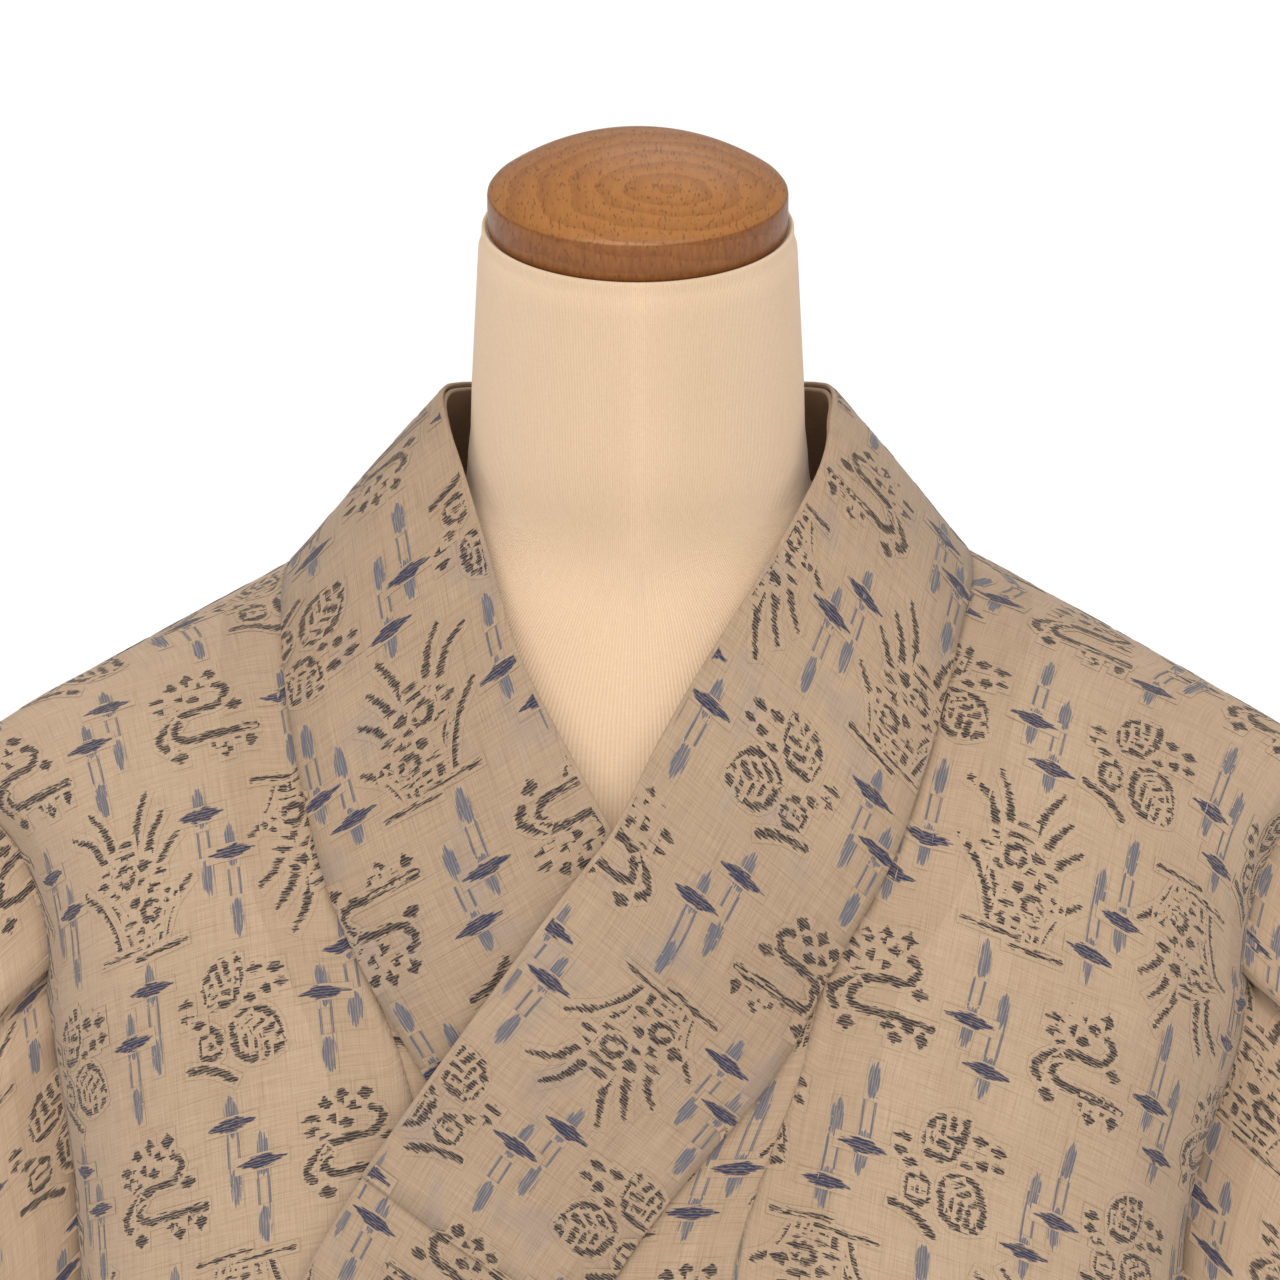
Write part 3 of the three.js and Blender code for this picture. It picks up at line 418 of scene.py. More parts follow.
@dataclass
class Patch:
    """A grid of a panel's middle surface, with the cloth coordinates of its points.

    s runs along the weft and t along the warp, rising with the rows. edge holds two distances to seams
    and hems, as shares of their allowances.
    """

    points: Array
    s: Array
    t: Array
    outward: Array
    edge: Array
    normals: Array = field(init=False)

    def __post_init__(self) -> None:
        """Works out the normals."""
        self.find_normals()

    def find_normals(self) -> None:
        """Points the normals out of the panel."""
        cross = np.cross(np.gradient(self.points, axis=0), np.gradient(self.points, axis=1))
        way = np.sign(np.sum(cross * self.outward))
        self.normals = unit(cross * way)
        self.flip = bool(way < 0)

    def crease(self, creases: Sequence[Crease], keep_edges: float) -> None:
        """Presses the creases and a slight unevenness into the surface.

        Args:
            creases: the panel's creases.
            keep_edges: distance over which they fade out towards the panel's long edges.
        """
        push = np.zeros(self.s.shape)
        for crease in (*creases, Unevenness()):
            push += crease.push(self.s, self.t)
        first, last = np.abs(self.s - self.s[:, :1]), np.abs(self.s - self.s[:, -1:])
        push *= smooth(np.minimum(first, last) / keep_edges)
        self.points = self.points - self.normals * push[..., None]
        self.find_normals()

    def chart(self, cell: float = 2.5) -> "Chart":
        """Reads the patch on an even grid of its cloth coordinates.

        Args:
            cell: the grid's step.

        Returns:
            The chart.
        """
        data = np.concatenate([self.points, self.normals, self.edge, self.t[..., None]], axis=-1)
        way = np.sign(self.s[0, -1] - self.s[0, 0])
        s_axis = np.arange(self.s.min() - cell, self.s.max() + 2 * cell, cell)
        t_axis = np.arange(self.t.min() - cell, self.t.max() + 2 * cell, cell)
        rows = np.empty((len(self.s), len(s_axis), data.shape[-1]))
        for r, line in enumerate(way * self.s):
            c = np.clip(np.searchsorted(line, way * s_axis) - 1, 0, len(line) - 2)
            step = np.maximum(line[c + 1] - line[c], 1e-6)
            f = np.clip((way * s_axis - line[c]) / step, -1, 2)[:, None]
            rows[r] = lerp(data[r, c], data[r, c + 1], f)
        grid = np.empty((len(t_axis), len(s_axis), data.shape[-1]))
        for c in range(len(s_axis)):
            line = rows[:, c, -1]
            r = np.clip(np.searchsorted(line, t_axis) - 1, 0, len(line) - 2)
            f = np.clip((t_axis - line[r]) / np.maximum(line[r + 1] - line[r], 1e-6), -1, 2)[:, None]
            grid[:, c] = lerp(rows[r, c], rows[r + 1, c], f)
        return Chart(self, s_axis[0], t_axis[0], cell, grid[..., :-1])


@dataclass
class Chart:
    """A patch read on an even grid of its cloth coordinates."""

    patch: Patch
    s0: float
    t0: float
    cell: float
    grid: Array

    def held(self, value: Array, at: Array, ends: tuple[Array, Array], keys: tuple[Array, Array]) -> Array:
        """Keeps a coordinate between the patch's two facing edges."""
        limits = []
        for end, key in zip(ends, keys):
            order = np.argsort(key)
            limits.append(np.interp(at, key[order], end[order]))
        return np.clip(value, np.minimum(*limits), np.maximum(*limits))

    def at(self, s: Array, t: Array) -> tuple[Array, Array, Array, Array]:
        """Finds places of the cloth on the surface.

        Args:
            s: weft coordinates.
            t: warp coordinates.

        Returns:
            Points, normals, edge values, and whether each place is within the patch.
        """
        edges, rows = self.patch.s, self.patch.t
        t_in = self.held(t, s, (rows[0], rows[-1]), (edges[0], edges[-1]))
        s_in = self.held(s, t_in, (edges[:, 0], edges[:, -1]), (rows[:, 0], rows[:, -1]))
        inside = (np.abs(t_in - t) < 1e-6) & (np.abs(s_in - s) < 1e-6)
        u, v = (s_in - self.s0) / self.cell, (t_in - self.t0) / self.cell
        i = np.clip(v.astype(int), 0, self.grid.shape[0] - 2)
        j = np.clip(u.astype(int), 0, self.grid.shape[1] - 2)
        f, g = (v - i)[:, None], (u - j)[:, None]
        value = lerp(lerp(self.grid[i, j], self.grid[i, j + 1], g),
                     lerp(self.grid[i + 1, j], self.grid[i + 1, j + 1], g), f)
        return value[:, :3], unit(value[:, 3:6]), value[:, 6:8], inside


def away_from_axis(points: Array, upward: float = 0.0) -> Array:
    """Directions away from the body's upright axis, with a part upwards."""
    return points * np.array([1, 1, 0.0]) + np.array([0, 0, upward])


def step_counts(places: Array, cell: float) -> Array:
    """How many steps of about a cell's size fit between each two places."""
    return np.maximum(1, np.round(np.diff(places) / cell)).astype(int)


def tube_quads(rows: int, sides: int) -> Array:
    """The faces of a tube, as point numbers that run round each row in turn."""
    ids = np.arange(rows * sides).reshape(rows, sides)
    after = np.roll(ids, -1, axis=1)
    return np.stack([ids[:-1], ids[1:], after[1:], after[:-1]], axis=-1).reshape(-1, 4)


def refined(points: Array, knots: Array, counts: Sequence[int]) -> tuple[Array, Array]:
    """Adds rows between the rows of a grid on a smooth curve.

    Args:
        points: the grid, rows first.
        knots: a rising place for each row.
        counts: how many steps each interval gets.

    Returns:
        The new rows' places and the finer grid.
    """
    parts = [lerp(knots[i], knots[i + 1], np.arange(n) / n) for i, n in enumerate(counts)]
    at = np.concatenate([*parts, knots[-1:]])
    return at, hermite(knots, points, at)


def widened(points: Array, count: int) -> Array:
    """Adds columns between the columns of a grid on a smooth curve."""
    columns = points.shape[1]
    _, fine = refined(points.swapaxes(0, 1), np.arange(columns, dtype=float), [count] * (columns - 1))
    return fine.swapaxes(0, 1)


def make_object(name: str, points: Array, faces: Sequence) -> bpy.types.Object:
    """Makes a smooth mesh object from points in millimetres.

    Args:
        name: the piece's name.
        points: points from the side neck point.
        faces: faces as rows of point numbers.

    Returns:
        The object, riding on the body.
    """
    mesh = bpy.data.meshes.new(name)
    mesh.from_pydata(((points + SHOULDER) * MM).tolist(), [], [list(map(int, f)) for f in faces])
    mesh.shade_smooth()
    piece = bpy.data.objects.new(name, mesh)
    bpy.context.scene.collection.objects.link(piece)
    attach(piece, "root")
    return piece


def write_uv(mesh: bpy.types.Mesh, name: str, values: Array) -> None:
    """Writes a UV map from one pair for each corner."""
    layer = mesh.uv_layers.new(name=name)
    layer.data.foreach_set("uv", np.ascontiguousarray(values, dtype=np.float32).ravel())


@dataclass
class Panel:
    """A cloth panel: one or more patches, welded where their points meet."""

    name: str
    patches: list[Patch]
    wall: float = 0.8
    weld: float = 0.02

    def build(self, material: bpy.types.Material) -> bpy.types.Object:
        """Makes the panel's shell.

        Args:
            material: the cloth.

        Returns:
            The shell.
        """
        points, faces, cloth, edge, start = [], [], [], [], 0
        for patch in self.patches:
            rows, columns = patch.s.shape
            ids = start + np.arange(rows * columns).reshape(rows, columns)
            quads = np.stack([ids[:-1, :-1], ids[1:, :-1], ids[1:, 1:], ids[:-1, 1:]], axis=-1).reshape(-1, 4)
            faces.append(quads[:, ::-1] if patch.flip else quads)
            points.append(patch.points.reshape(-1, 3))
            cloth.append(np.stack([patch.s, patch.t], axis=-1).reshape(-1, 2) * MM)
            edge.append(patch.edge.reshape(-1, 2))
            start += rows * columns
        points, faces = np.concatenate(points), np.concatenate(faces)
        _, first, shared = np.unique(np.round(points / self.weld), axis=0, return_index=True,
                                     return_inverse=True)
        piece = make_object(self.name, points[first], shared.reshape(-1)[faces])
        corners = faces.reshape(-1)
        write_uv(piece.data, "cloth", np.concatenate(cloth)[corners])
        write_uv(piece.data, "edge", np.concatenate(edge)[corners])
        piece.data.materials.append(material)
        shell = piece.modifiers.new("wall", "SOLIDIFY")
        shell.thickness = self.wall * MM
        shell.offset = 0.0
        return piece


@dataclass
class BodyPanel:
    """One half of the body: a single width of cloth over the shoulder, from front hem to back hem."""

    shape: WornShape
    collar: CollarLine
    side: int
    seam_gap: float = 0.05
    neck_gap: float = -0.6
    row_step: float = 0.5
    hem_rows: int = 8
    columns: int = 8
    arc_rows: int = 8
    arc_ease: float = 1.25
    nape_round: float = 100.0
    settle_rows: int = 5
    cell: float = 7.0
    fine: int = 4
    lean_fade: float = 260.0
    warp_lean: dict[int, float] = field(default_factory=lambda: {1: 0.12, -1: 0.05})
    level_fade: float = 200.0
    straight_share: float = 0.72
    straight_rows: int = 12
    straight_from: float = 30.0
    weft_level: dict[int, float] = field(default_factory=lambda: {1: 0.35, -1: 0.65})
    samples: int = 49
    side_samples: int = 401
    least_depth: float = 0.01
    upward: float = 20.0
    closed: float = 1.2
    round_share: float = 1.05
    seam_allowances: dict[int, float] = field(default_factory=lambda: {1: 26.0, -1: 14.0})
    side_allowance: float = 20.0
    hem_allowance: float = 20.0
    crease_fade: float = 18.0

    def levels(self) -> list[float]:
        """Heights of the level rows, which follow the collar's and then go down to the hem."""
        rows = np.arange(self.collar.point_row, self.collar.last + 1e-6, self.row_step)
        heights = [self.collar.edge(self.side, row, False)[2] for row in rows]
        return heights + list(np.linspace(heights[-1], self.shape.hem_z, self.hem_rows + 1)[1:])

    def side_angle(self, length: float, half: float, depth: float) -> float:
        """Plan angle between the side and a point that lies a given length from it."""
        if length <= 0:
            return 0.0
        angle = QUARTER * (1 - np.linspace(0, 1, self.side_samples) ** 2)
        line = np.stack([self.shape.plan_x(angle, half), self.shape.plan_y(angle, depth, depth)], axis=-1)
        return QUARTER - float(np.interp(length, lengths_along(line), angle))

    def row(self, face: int, height: float, turn: float | None, start_x: float, ridge_x: float,
            count: int) -> Array:
        """One row from the centre or the neck edge to the side.

        Args:
            face: 1 on the front, -1 on the back.
            height: the row's height.
            turn: how far round the shoulder it lies, or None where it hangs level.
            start_x: where it starts.
            ridge_x: where its neck edge meets the ridge.
            count: how many steps it has.

        Returns:
            Its points.
        """
        shape, side = self.shape, self.side
        hangs = turn is None
        share = 1 - (1 - (QUARTER if hangs else turn) / QUARTER) ** shape.turn_in
        half = shape.half(height, side) if hangs else lerp(
            shape.armhole_x, shape.half(shape.chest_z, side), share)
        level = height if hangs else shape.levels.rows[0][0]
        front, back = shape.levels.read(level, "front"), shape.levels.read(level, "back")
        depth_share = 1.0 if hangs else math.sin(turn)
        begin = shape.plan_angle(math.copysign(start_x, start_x * side or 1), half)
        gap = shape.side_gap(height) if hangs else shape.armhole_gap * float(smooth(turn / QUARTER))
        stop = QUARTER - self.side_angle(gap, half, max((front if face > 0 else back) * depth_share, 1))
        samples = np.linspace(begin, stop, self.samples)
        depths = [max(depth * depth_share, self.least_depth) for depth in (front, back)]
        line = np.stack([shape.plan_x(samples, half), shape.plan_y(samples, *depths)], axis=-1)
        run = lengths_along(line)
        points = []
        for i, angle in enumerate(np.interp(np.linspace(0, run[-1], count + 1), run, samples)):
            turned = side * (angle if face > 0 else math.pi - angle)
            x = float(shape.plan_x(angle, half))
            if hangs:
                lift = shape.over_lift(x, height, half) if side > 0 and face > 0 else 0.0
                points.append(shape.level_point(turned, height, lift))
                continue
            on_ridge = lerp(abs(ridge_x), shape.armhole_x, i / count)
            z = shape.ridge_z(on_ridge) - shape.round_height(on_ridge) * (1 - math.cos(turn))
            lift = shape.over_lift(x, z, half) if side > 0 and face > 0 else 0.0
            y = (float(shape.plan_y(turned, front, back)) - lift) * depth_share
            points.append(np.array([side * x, y, z]))
        return np.array(points)

    def fitted(self, points: Array, target: Array) -> Array:
        """Pulls a row's first point to the seam, and its neighbours by less and less."""
        share = (1 - np.linspace(0, 1, len(points))) ** 2
        return points + (target - points[0]) * share[:, None]

    def seam(self, row: float) -> Array:
        """A point just outside the collar's seam."""
        seam, fold = self.collar.edge(self.side, row, False), self.collar.edge(self.side, row, True)
        return seam + unit(seam - fold) * self.neck_gap

    def coarse(self) -> tuple[Array, Array]:
        """The front's and the back's rows, from the shoulder down."""
        shape, side, levels = self.shape, self.side, self.levels()
        ridge_x = self.collar.edge(side, self.collar.ridge_row, False)[0]
        front = []
        for row in np.arange(self.collar.ridge_row, self.collar.point_row - 1e-6, self.row_step):
            at = self.collar.edge(side, row, False)
            drop = (shape.ridge_z(ridge_x) - at[2]) / shape.round_height(ridge_x)
            turn = math.acos(1 - float(np.clip(drop, 0, 1)))
            front.append(self.fitted(self.row(1, at[2], turn, at[0], ridge_x, self.columns), self.seam(row)))
        foot = shape.ridge_z(shape.armhole_x) - shape.round_height(shape.armhole_x)
        share = np.linspace(0, 1, self.columns + 1)
        for k, z in enumerate(levels):
            seam = shape.okumi_point(side, z)
            row = self.row(1, z, None, seam[0], ridge_x, self.columns)
            row[:, 2] += (1 - smooth(k / self.settle_rows)) * share * (foot - levels[0])
            front.append(self.fitted(row, seam + np.array([side * self.seam_gap, 0, 0])))
        count = self.columns * 2
        top = np.array([self.seam(row) for row in np.linspace(0, self.collar.ridge_row, self.columns + 1)])
        top = np.concatenate([top, front[0][1:]])
        top[0, 0] = side * self.seam_gap
        hung = self.row(-1, levels[0], None, side * self.seam_gap, ridge_x, count)
        back = [top]
        columns = np.arange(count + 1) / count
        nape = np.minimum(smooth(np.abs(top[:, 0]) / abs(ridge_x)) + columns, 1)
        drop = lerp(self.nape_round, np.array([shape.round_height(x) for x in top[:, 0]]), nape)
        for k in range(1, self.arc_rows + 1):
            turn = QUARTER * (k / self.arc_rows) ** self.arc_ease
            x = lerp(top[:, 0], hung[:, 0], 1 - (1 - turn / QUARTER) ** shape.turn_in)
            x[0] = top[0, 0]
            y = lerp(top[:, 1], hung[:, 1], math.sin(turn))
            back.append(np.stack([x, y, top[:, 2] - drop * (1 - math.cos(turn))], axis=-1))
        for k, z in enumerate(levels[1:]):
            row = self.row(-1, z, None, side * self.seam_gap, ridge_x, count)
            row[:, 2] += (1 - smooth((k + 1) / self.settle_rows)) * (back[self.arc_rows][:, 2] - levels[0])
            row[0, 0] = side * self.seam_gap
            back.append(row)
        return np.array(front), np.array(back)

    def build(self, name: str, creases: Sequence[Crease]) -> Panel:
        """Refines the rows to a smooth shell.

        Args:
            name: the panel's name.
            creases: its creases.

        Returns:
            The panel.
        """
        front, back = self.coarse()
        down, up = down_lengths(front), down_lengths(back)
        front_counts, back_counts = step_counts(down, self.cell), step_counts(up, self.cell)
        levels = len(self.levels()) - 1
        back_counts[-levels:] = front_counts[-levels:]
        front, back = widened(front, self.fine), widened(back, self.fine)
        neck = self.columns * self.fine
        whole = np.concatenate([back[::-1, neck:], front[1:]])
        knots = np.concatenate([-up[::-1], down[1:]])
        _, whole = refined(whole, knots, [*back_counts[::-1], *front_counts])
        t_back, nape = refined(back[::-1, :neck + 1], -up[::-1], back_counts[::-1])
        nape[:, -1] = whole[:len(t_back), 0]
        self.weld_side(whole, front_counts, levels)
        upper = len(t_back) - 1
        patches = [self.patch(np.concatenate([nape, whole[:upper + 1, 1:]], axis=1), -1),
                   self.patch(whole[upper:], 1)]
        for patch in patches:
            patch.crease(creases, self.crease_fade)
        line = (patches[0].points[-1, neck:] + patches[1].points[0]) / 2
        normals = unit(patches[0].normals[-1, neck:] + patches[1].normals[0])
        patches[0].points[-1, neck:] = patches[1].points[0] = line
        patches[0].normals[-1, neck:] = patches[1].normals[0] = normals
        return Panel(name, patches)

    def weld_side(self, whole: Array, counts: Array, levels: int) -> None:
        """Brings the front and back side edges together below the side opening."""
        steps = int(counts[-levels:].sum())
        front, back = whole[len(whole) - 1 - steps:, -1], whole[:steps + 1, -1][::-1]
        seam = (front + back) / 2
        joined = np.abs(front[:, 1] - back[:, 1]) < self.closed
        first = len(joined) - int(np.argmin(joined[::-1])) if not joined.all() else 0
        front[first:] = seam[first:]
        back[first:] = seam[first:]

    def patch(self, points: Array, face: int) -> Patch:
        """Gives a grid its cloth coordinates and its distances to seams.

        Args:
            points: the grid, from the back hem up or from the shoulder down.
            face: 1 on the front, -1 on the back.

        Returns:
            The patch.
        """
        down = points if face > 0 else points[::-1]
        weft = unit(np.gradient(down, axis=1))
        weft = unit(weft[1:] + weft[:-1])
        step = np.diff(down, axis=0)
        step = np.linalg.norm(step - weft * np.sum(step * weft, axis=-1, keepdims=True), axis=-1)
        start = np.maximum(down[0, :, 1], 0) * self.round_share
        t = start + np.concatenate([np.zeros((1, step.shape[1])), np.cumsum(step, axis=0)])
        neck_x = self.collar.edge(self.side, self.collar.ridge_row, False)[0]
        level = self.weft_level[self.side] * np.maximum(self.shape.ridge_z(neck_x) - down[0, :, 2], 0)
        t = t + level if face > 0 else (level * (2 * np.exp(-t / self.level_fade) - 1) - t)[::-1]
        inner = across_lengths(points)
        outer = inner[:, -1:] - inner
        hem = t[-1] - t if face > 0 else t - t[0]
        seams = np.minimum(inner / self.seam_allowances[face], outer / self.side_allowance)
        edge = np.stack([seams, hem / self.hem_allowance], axis=-1)
        lean = self.warp_lean[self.side] * self.lean_fade * (1 - np.exp(-np.maximum(t, 0) / self.lean_fade))
        s = lean - self.side * (outer + self.straighter(points, outer, t))
        return Patch(points, s, t, away_from_axis(points, self.upward), edge)

    def straighter(self, points: Array, outer: Array, t: Array) -> Array:
        """How far each row's warp threads move so that they run on without a bend below the armhole.

        Args:
            points: the patch's points.
            outer: each point's distance to the outer edge.
            t: each point's warp coordinate.

        Returns:
            One shift for each row.
        """
        along = self.straight_share * self.shape.armhole_x
        middle = np.array([np.interp(along, np.abs(row[:, 0]), far) for row, far in zip(points, outer)])
        weights = np.exp(-np.linspace(-2, 2, 2 * self.straight_rows + 1) ** 2)
        padded = np.pad(middle, self.straight_rows, mode="edge")
        evened = np.convolve(padded, weights / weights.sum(), mode="valid")
        below = 1 - np.exp(-(t.mean(axis=1) / self.straight_from) ** 2)
        return ((evened - middle) * below)[:, None]


@dataclass
class OverlapPanel:
    """The overlap between a front and the collar, with a free edge below the collar's end."""

    shape: WornShape
    collar: CollarLine
    side: int
    body: BodyPanel
    hem_x: float
    first_step: float = 0.1
    columns: int = 4
    cell: float = 7.0
    fine: int = 5
    seam_allowance: float = 14.0
    edge_allowance: float = 16.0
    hem_allowance: float = 20.0
    crease_fade: float = 14.0

    def build(self, name: str, top_t: Array, creases: Sequence[Crease]) -> Panel:
        """Builds the panel from the body's level rows.

        Args:
            name: the panel's name.
            top_t: warp coordinate of each level row.
            creases: its creases.

        Returns:
            The panel.
        """
        over, levels, last = self.side > 0, self.body.levels(), self.collar.last
        end = self.collar.edge(self.side, last, False)
        rows = []
        for k, z in enumerate(levels):
            step = max(k, self.first_step)
            z = z if k else lerp(z, levels[1], self.first_step)
            seam = self.shape.okumi_point(self.side, z)
            row = self.collar.point_row + step * self.body.row_step
            free = (end[2] - z) / (end[2] - self.shape.hem_z)
            edge = (self.collar.edge(self.side, row, False) if row <= last else
                    self.shape.chest_point(lerp(end[0], -self.side * self.hem_x, free), z, over))
            points = []
            for share in np.linspace(0, 1, self.columns + 1):
                x = lerp(seam[0], edge[0], share) - self.side * self.body.seam_gap * (1 - 2 * share)
                points.append(self.shape.chest_point(x, lerp(z, edge[2], share), over))
            rows.append(points)
        grid = widened(np.array(rows), self.fine)
        knots = top_t.copy()
        knots[0] = lerp(top_t[0], top_t[1], self.first_step)
        t, points = refined(grid, knots, step_counts(knots, self.cell))
        inner = across_lengths(points)
        outer = inner[:, -1:] - inner
        t = np.repeat(t[:, None], inner.shape[1], axis=1)
        seams = np.minimum(inner / self.seam_allowance, outer / self.edge_allowance)
        edge = np.stack([seams, (t[-1] - t) / self.hem_allowance], axis=-1)
        patch = Patch(points, -self.side * inner, t, away_from_axis(points), edge)
        patch.crease(creases, self.crease_fade)
        return Panel(name, [patch])


@dataclass
class Sleeve:
    """A sleeve: a flattened tube from the armhole to the cuff, open at the inner edge's foot."""

    shape: WornShape
    side: int
    width: float = 320.0
    length: float = 490.0
    cuff_opening: float = 230.0
    leans: tuple[float, float, float] = (38.0, -8.5, -3.8)
    top_bow: float = 20.0
    lower: tuple[float, ...] = (285, 340, 395, 445, 478)
    cuff_gap: float = 20.0
    half_body: float = 15.0
    body_power: float = 0.8
    mouth_power: float = 0.7
    fold_round: float = 90.0
    foot_round: float = 60.0
    closing: float = 3.5
    closing_over: float = 60.0
    closed_from: float = 8.0
    facing: tuple[float, float, float] = (0.2, 1.0, 0.2)
    foot_half: float = 7.0
    inner_bow: float = 5.0
    bow_share: float = 0.7
    clear: float = 0.1
    columns: int = 9
    fine: int = 5
    cell: float = 7.0
    armhole_allowance: float = 12.0
    cuff_allowance: float = 18.0
    foot_allowance: float = 14.0
    crease_fade: float = 14.0

    def leaning(self, x: float, z: float, length: float, lean: float) -> tuple[float, float]:
        """Goes down a line that leans outwards from the upright."""
        return x + length * math.sin(math.radians(lean)), z - length * math.cos(math.radians(lean))

    def ring(self, edge: Array, face: int, foot: tuple[float, float]) -> list[tuple[float, Array]]:
        """The inner edge's points with their distances from the shoulder fold.

        Args:
            edge: the body's side edge with the column before it, from the shoulder down.
            face: -1 on the front, 1 on the back.
            foot: x and z of the foot's inner corner.

        Returns:
            Distance and point pairs.
        """
        at, away = edge[:, -1], unit(edge[:, -1] - edge[:, -2])
        outward = unit(away + np.array([self.side, 0, 0]))
        travelled = lengths_along(at)
        ring = [(b, at[i] + outward[i] * self.clear)
                for i, b in enumerate(travelled) if b <= self.shape.armhole_length]
        last_b, last = ring[-1]
        corner = np.array([self.side * foot[0], face * self.foot_half, foot[1]])
        for b in self.lower:
            share = (b - last_b) / (self.length - last_b)
            inner = lerp(last, corner, share)
            inner[0] += self.side * self.inner_bow * math.sin(QUARTER * min(2 * share, 1)) * (1 - share)
            ring.append((b, inner))
        return ring

    def half_depth(self, a: float, b: float) -> float:
        """Half depth at a share of the width and a distance from the fold."""
        foot = np.clip((self.length - b) / self.foot_round, 0, 1)
        rounding = math.sqrt(np.clip(b / self.fold_round, 0, 1) * foot)
        body = self.half_body * max(math.sin(math.pi * a), 0) ** self.body_power * rounding
        mouth = max(math.sin(math.pi * np.clip(b / self.cuff_opening, 0, 1)), 0) ** self.mouth_power
        cuff = self.cuff_gap * float(smooth(a * 2 - 1)) * mouth
        past = float(smooth((b - self.cuff_opening + self.closing_over / 2) / self.closing_over))
        return float(body + cuff + self.closing * past * a * rounding)

    def build(self, name: str, front: Array, back: Array, creases: Sequence[Crease]) -> Panel:
        """Builds the sleeve out from the body's armhole edges.

        Args:
            name: the panel's name.
            front: the body's front rows.
            back: the body's back rows.
            creases: its creases.

        Returns:
            The panel.
        """
        top = (self.shape.armhole_x, self.shape.ridge_z(self.shape.armhole_x))
        cuff_top = self.leaning(*top, self.width, self.leans[0])
        foot_out = self.leaning(*cuff_top, self.length, self.leans[1])
        foot_in = self.leaning(*top, self.length, self.leans[2])
        corner = (self.length, np.array([self.side * foot_in[0], 0, foot_in[1]]))
        backs = self.ring(back, 1, foot_in)[1:]
        ring = [(1, *corner)] + [(1, *entry) for entry in reversed(backs)]
        ring += [(-1, *entry) for entry in self.ring(front, -1, foot_in)] + [(-1, *corner)]
        rows = []
        for face, b, inner in ring:
            share = b / self.length
            outer = np.array([self.side * lerp(cuff_top[0], foot_out[0], share), 0,
                              lerp(cuff_top[1], foot_out[1], share)])
            row = []
            for a in np.linspace(0, 1, self.columns + 1):
                bow = self.top_bow * math.sin(math.pi * a) * (1 - share) * self.bow_share
                depth = 0.0 if a == 1 and b > self.cuff_opening else face * self.half_depth(a, b)
                row.append(lerp(inner, outer, a) + np.array([self.side * bow, depth, bow]))
            rows.append(row)
        knots = np.array([-face * b for face, b, _ in ring])
        grid = widened(np.array(rows), self.fine)
        t, points = refined(grid, knots, step_counts(knots, self.cell))
        closed = np.abs(t) > self.cuff_opening + self.closed_from
        points[closed, -1, 1] = 0.0
        a = np.linspace(0, 1, points.shape[1])
        size = points.shape[:2]
        s = np.broadcast_to(self.side * a * self.width, size)
        hem = np.broadcast_to((1 - a) * self.width / self.armhole_allowance, size)
        foot = ((self.length - np.abs(t)) / self.foot_allowance)[:, None]
        seams = np.minimum(np.broadcast_to(a * self.width / self.cuff_allowance, size),
                           np.broadcast_to(foot, size))
        outward = (points - points.mean(axis=0, keepdims=True)) * np.array(self.facing)
        spread = np.repeat(t[:, None], points.shape[1], axis=1)
        patch = Patch(points, np.array(s), spread, outward, np.stack([seams, hem], axis=-1))
        patch.crease(creases, self.crease_fade)
        patch.points[-1] = patch.points[0]
        patch.points[closed, -1, 1] = 0.0
        mates = {round(abs(v), 3): i for i, v in enumerate(t) if v > 0}
        for i in np.nonzero(closed & (t < 0))[0]:
            mate = min(mates, key=lambda v: abs(v - abs(t[i])))
            patch.points[i, -1] = lerp(patch.points[i, -1], patch.points[mates[mate], -1], 0.5)
        return Panel(name, [patch])


